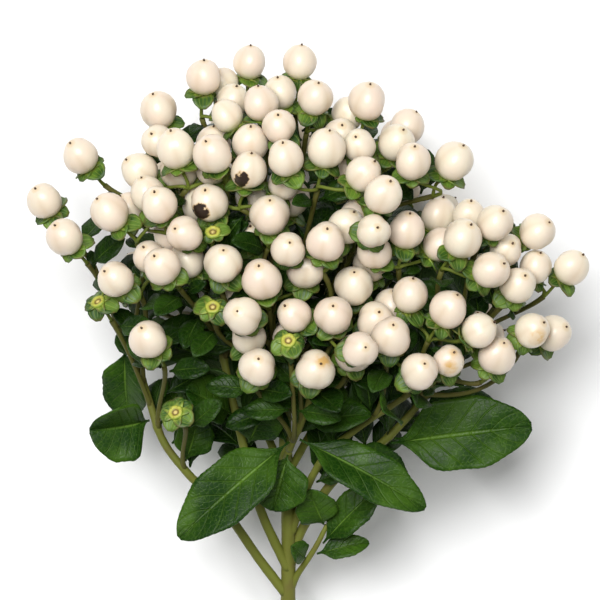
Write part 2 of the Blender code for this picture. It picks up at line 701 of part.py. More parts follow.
def seated(line, radii, place, way):
    """Where a blade that leaves in some direction meets the bark nearest to a place."""
    i = min(range(len(line)), key=lambda k: (line[k] - place).length)
    trunk = tangents(line)[i]
    out = (way - trunk * way.dot(trunk)).normalized()
    return line[i] + out * (radii[i] + LEAF_SEAT)


def shown_leaf(index, row, line, radii):
    """Turns of one leaf that shows, each a little further from its place."""
    branch, base, tip, face, width, fold = row
    for share, lift, swing in SHOWN_TRIES:
        reach = Vector(tip) - Vector(base)
        end = Vector(base) + reach * share + Vector((0, 0, lift)) + Vector((-reach.y, reach.x, 0)) * swing
        start = seated(line, radii, Vector(base), end - Vector(base))
        yield Leaf(f"leaf_{index:02d}", branch, start, end, Vector(face).normalized(), width * share,
                   fold=fold, phase=index * LEAF_PHASE_STEP)


def paired_leaf(index, branch, place, trunk, turn, length, radius):
    """Turns of one leaf of a pair, each a little further from its place."""
    first, second = across(trunk)
    for share, pitch, twist, droop in PAIRED_TRIES:
        angle = math.radians(turn + twist)
        out = first * math.cos(angle) + second * math.sin(angle)
        lean = math.radians(pitch)
        way = trunk * math.cos(lean) + out * math.sin(lean)
        light = Vector((0, 0, -1 if branch in BACK_SHOOTS else 1)) * LEAF_TURN_TO_LIGHT
        face = trunk * math.sin(lean) - out * math.cos(lean) + light
        face = (face - way * face.dot(way)).normalized()
        start = place + out * (radius + LEAF_SEAT)
        reach = length * share
        sunk = droop / 2
        end = start + reach * (way * math.cos(sunk) - face * math.sin(sunk))
        if sticks_out(end):
            continue
        yield Leaf(f"leaf_{index:02d}", branch, start, end, (face + way * sunk).normalized(),
                   reach * LEAF_WIDTH_SHARE, droop=droop, phase=index * LEAF_PHASE_STEP)


SHOWN_TRIES = sorted(((share, lift, swing) for share in (1.0, 0.92, 0.84) for lift in range(-9, 10, 3)
                      for swing in (0, 0.08, -0.08)),
                     key=lambda t: 60 * (1 - t[0]) + abs(t[1]) + 30 * abs(t[2]))
PAIRED_TRIES = [(share, pitch, twist, droop) for share in (1.0, 0.85, 0.7, 0.55) for pitch in (58, 40, 76)
                for twist in (0, 18, -18, 36, -36) for droop in (0.5, 0.9)]


def grow_leaves(head):
    """Every leaf with room for it. The ones that show come first."""
    branches = {b.name: b for b in WOOD}
    leaves = []
    trees = []

    def keep_first(candidates):
        near = None
        for leaf in candidates:
            if near is None:
                near = head.obstacles.near(leaf.base, LEAF_REACH)
            tree = leaf_fits(leaf, near, trees)
            if tree is not None:
                leaves.append(leaf)
                trees.append(tree)
                return

    for row in SHOWN_LEAVES:
        line, radii = branch_line(branches[row[0]])
        keep_first(shown_leaf(len(leaves), row, line, radii))
    for name, shares, first_turn, length in PAIRED_LEAVES:
        line, radii = branch_line(branches[name])
        ways = tangents(line)
        for k, share in enumerate(shares):
            i = round(share * (len(line) - 1))
            for side in (0, 180):
                if len(leaves) == MOST_LEAVES:
                    return leaves
                turn = first_turn + 90 * k + side
                shorter = length * (1 - LEAF_SHRINK * k)
                keep_first(paired_leaf(len(leaves), name, line[i], ways[i], turn, shorter, radii[i]))
    return leaves


def new_material(name, finish):
    """A plain surface of one colour and roughness."""
    colour, roughness = finish
    made = bpy.data.materials.new(name)
    made.use_nodes = True
    shader = made.node_tree.nodes["Principled BSDF"]
    shader.inputs["Base Color"].default_value = (*colour, 1)
    shader.inputs["Roughness"].default_value = roughness
    shader.inputs["Metallic"].default_value = 0
    made.diffuse_color = (*colour, 1)
    return made


def add_ring(bm, places):
    """A closed ring of vertices at the given places."""
    made = bmesh.ops.create_circle(bm, segments=len(places), radius=1)["verts"]
    for vert, place in zip(made, places):
        vert.co = (place - ORIGIN) * MM
    return made


def ring_edges(ring):
    """The edges that join a ring's own vertices."""
    own = set(ring)
    return sorted({e for v in ring for e in v.link_edges if e.other_vert(v) in own}, key=lambda e: e.index)


def skin(bm, rings, peak=None):
    """Bridges rings one after the other, and closes both ends, the last one at a peak if given."""
    made = [add_ring(bm, places) for places in rings]
    bm.edges.index_update()
    loops = [ring_edges(ring) for ring in made]
    faces = []
    for first, second in zip(loops, loops[1:]):
        faces.append(bmesh.ops.bridge_loops(bm, edges=first + second)["faces"])
    bmesh.ops.contextual_create(bm, geom=loops[0])
    top = bmesh.ops.contextual_create(bm, geom=loops[-1])["faces"]
    if peak is not None:
        tip = bmesh.ops.poke(bm, faces=top)
        tip["verts"][0].co = (peak - ORIGIN) * MM
        top = tip["faces"]
    faces.append(top)
    return faces


def tube_rings(points, radii, sides):
    """Rings square to a line, without any twist along it."""
    side = across(tangents(points)[0])[0]
    rings = []
    for point, way, radius in zip(points, tangents(points), radii):
        side = (side - way * side.dot(way)).normalized()
        other = way.cross(side)
        rings.append([point + radius * (side * math.cos(math.tau * k / sides)
                                        + other * math.sin(math.tau * k / sides)) for k in range(sides)])
    return rings


def make_object(name, bm, materials, collection):
    """One closed mesh object from what has been modelled."""
    bmesh.ops.recalc_face_normals(bm, faces=bm.faces)
    mesh = bpy.data.meshes.new(name)
    bm.to_mesh(mesh)
    bm.free()
    for material in materials:
        mesh.materials.append(material)
    made = bpy.data.objects.new(name, mesh)
    collection.objects.link(made)
    return made


def make_tube(name, points, radii, sides, materials, collection):
    """A closed tube along a line."""
    bm = bmesh.new()
    skin(bm, tube_rings(points, radii, sides))
    return make_object(name, bm, materials, collection)


def berry_rings(fruit):
    """Rings from the foot of the berry to below its tip, and the tip itself."""
    first, second = across(fruit.axis)
    rings = []
    for angle in BERRY_RINGS:
        out = fruit.radius * math.sin(angle)
        up = -fruit.radius * BERRY_STRETCH * math.cos(angle)
        middle = fruit.centre + fruit.axis * up
        rings.append([middle + out * (first * math.cos(turn) + second * math.sin(turn))
                      for turn in (fruit.spin + math.tau * k / BERRY_SIDES for k in range(BERRY_SIDES))])
    return rings, fruit.centre + fruit.axis * fruit.radius * BERRY_STRETCH


def bare_rings(fruit):
    """The low yellow dome that a lost berry leaves on its calyx."""
    first, second = across(fruit.axis)
    middle = fruit.seat + fruit.axis * BARE_DOME_BASE
    ring = [middle + BARE_DOME_RADIUS * (first * math.cos(turn) + second * math.sin(turn))
            for turn in (fruit.spin + math.tau * k / BERRY_SIDES for k in range(BERRY_SIDES))]
    return [ring], fruit.seat + fruit.axis * BARE_DOME_TOP


def make_fruit(name, fruit, materials, collection):
    """Pedicel, calyx and berry as one closed body."""
    radii = (PEDICEL_RADIUS, PEDICEL_RADIUS, PEDICEL_TOP_RADIUS)
    rings = tube_rings(fruit.pedicel[::PEDICEL_SKIP], radii, PEDICEL_SIDES)
    lobes = []
    for index, sepal in enumerate(fruit.sepals):
        shoulders, notch, _ = sepal_lines(fruit, index, *sepal)
        lobes += [*shoulders, notch]
    above, peak = bare_rings(fruit) if fruit.bare else berry_rings(fruit)
    bm = bmesh.new()
    bands = skin(bm, [*rings, lobes, *above], peak)
    for band, faces in enumerate(bands):
        for face in faces:
            face.material_index = 0 if band < 2 else 1 if band < 4 or fruit.bare else 2
    bmesh.ops.triangulate(bm, faces=[f for f in bm.faces if len(f.verts) > 3])
    return make_object(name, bm, materials, collection)


def unite(base, collection):
    """Joins everything in a collection to the base by one union, and takes the collection away."""
    join = base.modifiers.new("join", "BOOLEAN")
    join.operation = "UNION"
    join.operand_type = "COLLECTION"
    join.collection = collection
    join.solver = "EXACT"
    graph = bpy.context.evaluated_depsgraph_get()
    mesh = bpy.data.meshes.new_from_object(base.evaluated_get(graph))
    base.modifiers.remove(join)
    base.data = mesh
    for part in list(collection.objects):
        bpy.data.objects.remove(part)
    bpy.data.collections.remove(collection)


def flatten(obj):
    """Cuts off what lies below the surface, so that the object rests on a flat spot."""
    bm = bmesh.new()
    bm.from_mesh(obj.data)
    cut = bmesh.ops.bisect_plane(bm, geom=[*bm.verts, *bm.edges, *bm.faces], plane_co=(0, 0, 0),
                                 plane_no=(0, 0, 1), clear_inner=True)["geom_cut"]
    edges = [g for g in cut if isinstance(g, bmesh.types.BMEdge)]
    if edges:
        bmesh.ops.contextual_create(bm, geom=edges)
        bmesh.ops.recalc_face_normals(bm, faces=bm.faces)
        bm.to_mesh(obj.data)
    bm.free()


def smooth(obj):
    """Shades the rounded faces as one surface and keeps the edges of blades and cuts sharp."""
    obj.data.shade_smooth()
    obj.data.set_sharp_from_angle(angle=SHARP_ANGLE)


def new_collection(name):
    """A collection of its own in the scene."""
    made = bpy.data.collections.new(name)
    bpy.context.scene.collection.children.link(made)
    return made


def branch_part(branch, start, end):
    """The points and radii of a stretch of a branch, by distances along it from its root."""
    line = smooth_route(branch.route, FINE_STEP)
    runs = np.linspace(0, branch_length(branch), len(line))
    wanted = np.linspace(start, end, max(2, round((end - start) / BRANCH_STEP)) + 1)
    flat = np.array(line)
    places = np.column_stack([np.interp(wanted, runs, flat[:, i]) for i in range(3)])
    taper = (branch.tip_radius - branch.root_radius) / branch_length(branch)
    return [Vector(p) for p in places], [branch.root_radius + taper * float(run) for run in wanted]


def branch_length(branch):
    """The length of a branch along its curve."""
    line = smooth_route(branch.route, FINE_STEP)
    return sum((b - a).length for a, b in zip(line, line[1:]))


def make_stem(materials, collection):
    """The woody stem with the lower stretch of every shoot."""
    line, radii = branch_part(MAIN, 0, branch_length(MAIN))
    stem = make_tube("stem", line, radii, MAIN_SIDES, materials, collection)
    forks = new_collection("forks")
    for branch in (LEAFY_SHOOT, *SHOOTS):
        if branch.split > 0:
            line, radii = branch_part(branch, 0, branch.split * branch_length(branch))
            make_tube(branch.name, line, radii, BRANCH_SIDES, materials, forks)
    unite(stem, forks)
    flatten(stem)
    smooth(stem)


def make_spray(branch, head, materials, collection):
    """One flowering shoot with its twigs and, on each, the end pedicel with its calyx and berry."""
    length = branch_length(branch)
    line, radii = branch_part(branch, branch.split * length + GAP, length)
    spray = make_tube("spray_" + branch.name, line, radii, BRANCH_SIDES, materials, collection)
    parts = new_collection("parts")
    for twig in head.twigs:
        if twig.branch == branch.name:
            points = twig.points[::TWIG_SKIP]
            make_tube("twig", points, [TWIG_RADIUS] * len(points), TWIG_SIDES, materials, parts)
    for fruit in head.fruits:
        if fruit.branch == branch.name and fruit.rank == 0:
            make_fruit("fruit", fruit, materials, parts)
    unite(spray, parts)
    flatten(spray)
    smooth(spray)


def make_leaf(leaf, materials, collection):
    """One blade, thickened about its middle surface."""
    bm = bmesh.new()
    grid = leaf_grid(leaf, LEAF_ROWS, LEAF_COLUMNS)
    made = bmesh.ops.create_grid(bm, x_segments=LEAF_COLUMNS - 1, y_segments=LEAF_ROWS - 1, size=1)["verts"]
    for k, vert in enumerate(made):
        vert.co = (grid[k // LEAF_COLUMNS][k % LEAF_COLUMNS] - ORIGIN) * MM
    bmesh.ops.triangulate(bm, faces=bm.faces)
    blade = make_object(leaf.name, bm, materials, collection)
    smooth(blade)
    solid = blade.modifiers.new("thickness", "SOLIDIFY")
    solid.thickness = LEAF_THICKNESS * MM
    solid.offset = 0


def main():
    """Clears the scene and models the whole stem."""
    for old in list(bpy.data.objects):
        bpy.data.objects.remove(old)
    collection = bpy.context.scene.collection
    wood = new_material("stem", STEM_FINISH)
    sepal = new_material("sepal", SEPAL_FINISH)
    berry = new_material("berry", BERRY_FINISH)
    blade = new_material("leaf", LEAF_FINISH)
    head = grow_head()
    make_stem([wood], collection)
    for branch in SHOOTS:
        make_spray(branch, head, [wood, sepal, berry], collection)
    for leaf in grow_leaves(head):
        make_leaf(leaf, [blade], collection)


if __name__ == "__main__":
    main()
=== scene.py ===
"""Cut stem of hypericum with ivory berries, lying on a pale surface under soft light.

The layout is in millimetres, as in the solids: X across the head, Y from the cut end towards it, Z up, and
zero at the middle of the head. Meshes are in metres, with the origin under the stem.
"""

import logging
import math
import random
from collections.abc import Iterator, Sequence
from dataclasses import dataclass, field
from enum import Enum
from functools import partialmethod
from typing import ClassVar

import bmesh
import bpy
import numpy as np
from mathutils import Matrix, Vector, noise
from mathutils.bvhtree import BVHTree


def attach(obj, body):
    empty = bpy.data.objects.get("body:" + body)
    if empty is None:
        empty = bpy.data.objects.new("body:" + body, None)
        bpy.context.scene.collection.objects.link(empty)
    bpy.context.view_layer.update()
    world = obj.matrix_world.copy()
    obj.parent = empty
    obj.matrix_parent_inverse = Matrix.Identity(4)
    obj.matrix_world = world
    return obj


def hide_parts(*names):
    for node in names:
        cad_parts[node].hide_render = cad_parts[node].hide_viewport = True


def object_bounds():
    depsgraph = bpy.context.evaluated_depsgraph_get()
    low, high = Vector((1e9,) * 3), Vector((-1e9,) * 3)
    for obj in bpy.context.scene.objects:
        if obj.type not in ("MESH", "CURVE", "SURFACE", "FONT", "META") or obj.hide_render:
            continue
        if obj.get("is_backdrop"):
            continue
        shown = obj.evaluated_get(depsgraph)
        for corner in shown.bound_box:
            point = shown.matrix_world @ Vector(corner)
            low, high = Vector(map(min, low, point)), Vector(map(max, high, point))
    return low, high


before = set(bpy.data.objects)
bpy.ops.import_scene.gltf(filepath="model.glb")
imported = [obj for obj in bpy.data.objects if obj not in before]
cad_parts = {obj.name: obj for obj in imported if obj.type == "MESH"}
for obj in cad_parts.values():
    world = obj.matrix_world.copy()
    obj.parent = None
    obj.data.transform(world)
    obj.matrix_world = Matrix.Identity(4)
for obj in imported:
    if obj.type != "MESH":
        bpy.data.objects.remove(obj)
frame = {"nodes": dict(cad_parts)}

CAD_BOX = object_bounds()
LOG = logging.getLogger("berry_stem")

MM = 0.001
TABLE_Z = -42.7
ORIGIN = Vector((2.6, 47.9, TABLE_Z))
GOLDEN_STEP = 137.5
CURVE_PARTS = 24
OBSTACLE_STEP = 1.5
BARK_NOISE = 0.35
OPPOSITE = (0, 180)
FAR = 99.0

Colour = tuple[float, float, float]
Shader = bpy.types.Material


class Slot(Enum):
    """Names for the kinds of material: stem, berry and leaf."""

    STEM = "stem"
    BERRY = "berry"
    LEAF = "leaf"


def smooth_route(points: Sequence, step: float) -> list[Vector]:
    """A smooth curve through some places, as points about a step apart."""
    knots = [Vector(p) for p in points]
    ends = [2 * knots[0] - knots[1], *knots, 2 * knots[-1] - knots[-2]]
    dense = [knots[0]]
    for a, b, c, d in zip(ends, ends[1:], ends[2:], ends[3:]):
        for k in range(1, CURVE_PARTS + 1):
            t = k / CURVE_PARTS
            dense.append(0.5 * (2 * b + (c - a) * t + (2 * a - 5 * b + 4 * c - d) * t**2
                                + (3 * b - a - 3 * c + d) * t**3))
    return resample(dense, step)


def resample(points: Sequence[Vector], step: float) -> list[Vector]:
    """The same line, from end to end, as points about a step apart."""
    runs = [0.0]
    for a, b in zip(points, points[1:]):
        runs.append(runs[-1] + (b - a).length)
    wanted = np.linspace(0.0, runs[-1], max(1, round(runs[-1] / step)) + 1)
    flat = np.array(points)
    return [Vector(p) for p in np.column_stack([np.interp(wanted, runs, flat[:, i]) for i in range(3)])]


def across(axis: Vector) -> tuple[Vector, Vector]:
    """Two directions that stand square to the axis and to each other."""
    helper = Vector((1, 0, 0)) if abs(axis.x) < 0.8 else Vector((0, 1, 0))
    first = axis.cross(helper).normalized()
    return first, axis.cross(first)


def tangents(points: Sequence[Vector]) -> list[Vector]:
    """The direction of a line at each of its points."""
    last = len(points) - 1
    return [(points[min(i + 1, last)] - points[max(i - 1, 0)]).normalized() for i in range(last + 1)]


@dataclass(frozen=True)
class Branch:
    """A woody shoot: what it passes through, its radii, and the share of it that belongs to the stem."""

    name: str
    route: tuple
    root_radius: float
    tip_radius: float
    split: float

    def line(self, step: float = OBSTACLE_STEP) -> tuple[list[Vector], list[float]]:
        """Points along the branch, about a step apart, and its radius at each."""
        line = smooth_route(self.route, step)
        taper = self.tip_radius - self.root_radius
        return line, [self.root_radius + taper * i / (len(line) - 1) for i in range(len(line))]

    def stretch(self, start: float, end: float) -> tuple[list[Vector], list[float]]:
        """The points and radii between two shares of its length."""
        line, radii = self.line()
        low, high = (round(share * (len(line) - 1)) for share in (start, end))
        return line[low:high + 1], radii[low:high + 1]


MAIN = Branch("main", ((-6, -88, -40.3), (-5, -40, -27), (-4, 0, -13), (-4, 30, -4), (-5, 60, 2),
                       (-4, 90, 2)),
              3.0, 1.9, 1.0)
SHOOTS = (
    Branch("left_arm", ((-5, 2, -12), (-14, 14, -8), (-23, 27, -2), (-31, 36, 2), (-38, 43, 5),
                        (-46, 54, 6), (-52, 72, 7), (-61, 93, 6), (-69, 112, 6)), 1.7, 0.95, 0.38),
    Branch("left_upper", ((-4, 10, -9), (-12, 27, -2), (-16, 40, 4), (-22, 65, 8), (-28, 92, 9),
                          (-34, 115, 9), (-40, 138, 6)), 1.7, 0.95, 0.40),
    Branch("top_left", ((-4, 62, 2), (-9, 85, 6), (-15, 115, 4), (-20, 142, 2)), 1.5, 0.9, 0.22),
    Branch("crown", ((-4, 90, 2), (-1, 115, 1), (0, 135, 0), (0, 150, 0)), 1.6, 0.95, 0.0),
    Branch("right_upper", ((-4, 66, 2), (6, 92, 4), (16, 115, 4), (26, 133, 2)), 1.5, 0.9, 0.22),
    Branch("right_arm", ((-3, 12, -9), (0, 22, -7), (4, 29, -5), (9, 37, -2), (16, 44, 0), (29, 54, 4),
                         (40, 66, 6), (54, 84, 6), (67, 100, 5)), 1.7, 0.95, 0.36),
    Branch("right_low", ((-3, 22, -6), (1, 34, -1), (5, 43, 5), (10, 50, 11), (20, 58, 17), (32, 66, 22),
                         (44, 74, 24)), 1.5, 0.9, 0.38),
    Branch("front_upper", ((-4, 60, 2), (-7, 74, 13), (-9, 92, 23), (-8, 110, 29)), 1.4, 0.9, 0.22),
    Branch("front_lower", ((-5, 44, 0), (-4, 49, 7), (-2, 54, 14), (2, 63, 22), (5, 74, 30)), 1.4, 0.9, 0.24),
    Branch("back_left", ((-5, 40, -1), (-14, 62, -10), (-28, 88, -16), (-42, 108, -18)), 1.4, 0.9, 0.25),
    Branch("back_right", ((-3, 44, 0), (10, 66, -10), (28, 90, -16), (46, 106, -18)), 1.4, 0.9, 0.25),
    Branch("back_upper", ((-4, 76, 2), (-2, 98, -10), (2, 120, -17), (4, 136, -18)), 1.4, 0.9, 0.20),
)
# A short shoot low on the right that bears only leaves
LEAFY_SHOOT = Branch("leafy_shoot", ((-3, 3, -12), (-1, 8, -9), (3, 14, -6), (6, 19, -4), (9, 25, -3)),
                     1.2, 0.8, 1.0)
WOOD = (MAIN, LEAFY_SHOOT, *SHOOTS)
# The cymes that show, by shoot: x, y, share of the head's depth, berries, roll of the first side berry
CYMES = {
    "left_arm": ((-85, 133, 1.0, 1, 0), (-78, 121, 0.9, 1, 0), (-63, 129, 1.0, 2, 45),
                 (-61, 107, 1.0, 2, 40), (-50, 87, 1.0, 1, 0)),
    "left_upper": ((-47, 163, 1.0, 2, -80), (-41, 150, 1.0, 3, 54), (-29, 148, 1.0, 3, 37),
                   (-46, 131, 1.0, 3, 15), (-45, 112, 1.0, 2, 100), (-30, 132, 0.9, 2, 230),
                   (-73, 148, 0.6, 1, 0)),
    "top_left": ((-32, 174, 1.0, 2, -60), (-17, 179, 0.6, 2, -113), (-13, 165, 1.0, 3, 150)),
    "crown": ((0, 179, 1.0, 1, 0), (5, 167, 1.0, 3, 0), (9, 150, 1.0, 3, 200)),
    "right_upper": ((21, 165, 1.0, 2, -110), (32, 152, 1.0, 3, 60), (51, 146, 1.0, 2, 195),
                    (27, 135, 1.0, 3, 115), (19, 128, 0.8, 1, 0)),
    "front_upper": ((-17, 143, 1.0, 3, 12), (-15, 134, 0.6, 1, 0), (-10, 128, 0.9, 3, -72),
                    (8, 119, 1.0, 2, 60), (-16, 121, 0.6, 1, 0), (-25, 112, 1.0, 2, 150),
                    (-12, 108, 1.0, 3, 248), (-21, 103, 0.6, 1, 0)),
    "right_arm": ((35, 123, 0.9, 3, 230), (54, 121, 0.9, 3, -42), (66, 122, 1.0, 2, 120),
                  (78, 122, 1.0, 2, 200), (90, 111, 1.0, 2, 200), (72, 105, 1.0, 2, 120)),
    "front_lower": ((11, 95, 1.0, 3, 170), (18, 105, 0.8, 3, -67), (-14, 78, 1.0, 2, 100),
                    (5, 77, 1.0, 2, 117), (18, 83, 1.0, 1, 0)),
    "right_low": ((30, 88, 1.0, 3, -52), (49, 97, 1.0, 3, 0), (49, 80, 1.0, 1, 0), (65, 82, 1.0, 2, 100),
                  (77, 90, 1.0, 1, 0), (84, 89, 0.8, 1, 0)),
}
SMALL_CYMES = ((-16, 121), (-21, 103), (49, 80))
SMALL_SIZE = 0.8
# Calyces that have lost their berry, by shoot: x, y, share of the head's depth
BARE_CALYCES = {
    "left_arm": ((-68, 101, 0.9), (-42, 64, 0.9)),
    "front_upper": ((-29, 124, 1.0), (-29, 99, 0.9)),
    "front_lower": ((-4, 88, 0.95),),
}
# The back of the head is filled by a golden-angle rule
BACK_SHOOTS = ("back_left", "back_right", "back_upper")
BACK_COUNT = 20
BACK_HALF_WIDTH = 69.0
BACK_HALF_HEIGHT = 46.0
BACK_CENTRE = (1.0, 119.0)
FEET = ((-44.0, 134.0), (48.0, 130.0))


@dataclass
class Fruit:
    """One berry on its calyx, or a bare calyx, with the pedicel that carries it."""

    STRETCH: ClassVar[float] = 1.05
    CALYX_HEIGHT: ClassVar[float] = 1.2
    CALYX_REACH: ClassVar[float] = 3.0
    SEPALS: ClassVar[int] = 5
    SEPAL_NOTCH: ClassVar[float] = 2.3
    SEPAL_RISE: ClassVar[float] = 0.4
    SEPAL_SINK: ClassVar[float] = 0.3
    SEPAL_FULL_OUT: ClassVar[float] = 5.0
    SEPAL_LEAST_OUT: ClassVar[float] = 2.6
    SEPAL_HALF_ANGLE: ClassVar[float] = math.radians(25)

    branch: str
    cyme: int
    centre: Vector
    axis: Vector
    radius: float
    bare: bool = False
    foot: bool = False
    spin: float = 0.0
    pedicel: list[Vector] = field(default_factory=list)
    sepals: list[tuple[float, float]] = field(default_factory=list)

    @property
    def seat(self) -> Vector:
        """Where the berry sits on its calyx."""
        return self.centre - self.axis * self.radius * self.STRETCH

    @property
    def calyx(self) -> Vector:
        """Where the pedicel ends under the calyx."""
        return self.seat - self.axis * self.CALYX_HEIGHT

    def way(self, angle: float) -> Vector:
        """The direction that leaves the axis at an angle round it."""
        first, second = across(self.axis)
        return first * math.cos(angle) + second * math.sin(angle)

    def sepal_turn(self, index: int) -> float:
        """The angle round the axis of one sepal."""
        return self.spin + math.tau * index / self.SEPALS

    def sepal_reach(self, length: float, bend: float) -> tuple[float, float]:
        """How far out and down a sepal's tip is, from its length and bend."""
        free = length - self.SEPAL_NOTCH
        return self.SEPAL_NOTCH + free * math.cos(bend), free * math.sin(bend) + self.SEPAL_SINK

    def sepal_lines(self, index: int, length: float, bend: float) -> tuple[list[Vector], Vector]:
        """The two shoulders and the tip of one sepal, from its flat length and its bend in radians."""
        out, down = self.sepal_reach(length, bend)
        base = self.seat + self.axis * self.SEPAL_RISE
        turn = self.sepal_turn(index)
        narrow = self.SEPAL_HALF_ANGLE * min(1.0, self.SEPAL_FULL_OUT / max(out, self.SEPAL_LEAST_OUT))
        shoulders = [base + self.way(angle) * out - self.axis * down
                     for angle in (turn - narrow, turn + narrow)]
        return shoulders, base + self.way(turn) * out - self.axis * down


class Obstacles:
    """What is already in place, as rows of balls with owners."""

    def __init__(self) -> None:
        self.rows: list[tuple] = []

    def add(self, points: Sequence[Vector], radius: float | Sequence[float], owner: int) -> None:
        """Takes a row of balls with one radius, or a radius each, for the piece of that number."""
        radii = radius if hasattr(radius, "__len__") else [radius] * len(points)
        self.rows += [(*p, r, owner) for p, r in zip(points, radii)]

    def near(self, place: Vector, reach: float, skip: Sequence[int] = ()) -> np.ndarray:
        """The balls whose surface is near a place.

        Args:
            place: the place.
            reach: how near.
            skip: owners whose balls don't count.

        Returns:
            A row of centre, radius and owner for each ball.
        """
        table = np.array(self.rows)
        apart = np.sqrt(((table[:, :3] - np.array(place)) ** 2).sum(axis=1)) - table[:, 3]
        return table[(apart < reach) & ~np.isin(table[:, 4], list(skip))]


def clearance(points: Sequence, near: np.ndarray) -> np.ndarray:
    """The smallest distance from each line of points, or from one line, to the balls near it."""
    apart = np.asarray(points)[..., None, :] - near[:, :3]
    return (np.sqrt((apart**2).sum(axis=-1)) - near[:, 3]).min(axis=(-1, -2), initial=FAR)


def push_apart(points: np.ndarray, radii: np.ndarray, others: np.ndarray, other_radii: np.ndarray, gap: float,
               same: bool) -> tuple[np.ndarray, np.ndarray]:
    """How far two sets of balls have to move to clear each other.

    Args:
        points: where the first set is.
        radii: their radii.
        others: where the second set is.
        other_radii: their radii.
        gap: the room wanted between two surfaces.
        same: whether both sets are of the same pieces, which don't push themselves.

    Returns:
        The moves of the first set, and those of the second.
    """
    apart = points[:, None] - others[None]
    distance = np.sqrt((apart**2).sum(axis=2)) + 1e-9
    short = np.clip(radii[:, None] + other_radii[None] + gap - distance, 0, None)
    if same:
        np.fill_diagonal(short, 0)
    moves = apart / distance[..., None] * short[..., None] * 0.5
    return moves.sum(axis=1), -moves.sum(axis=0)


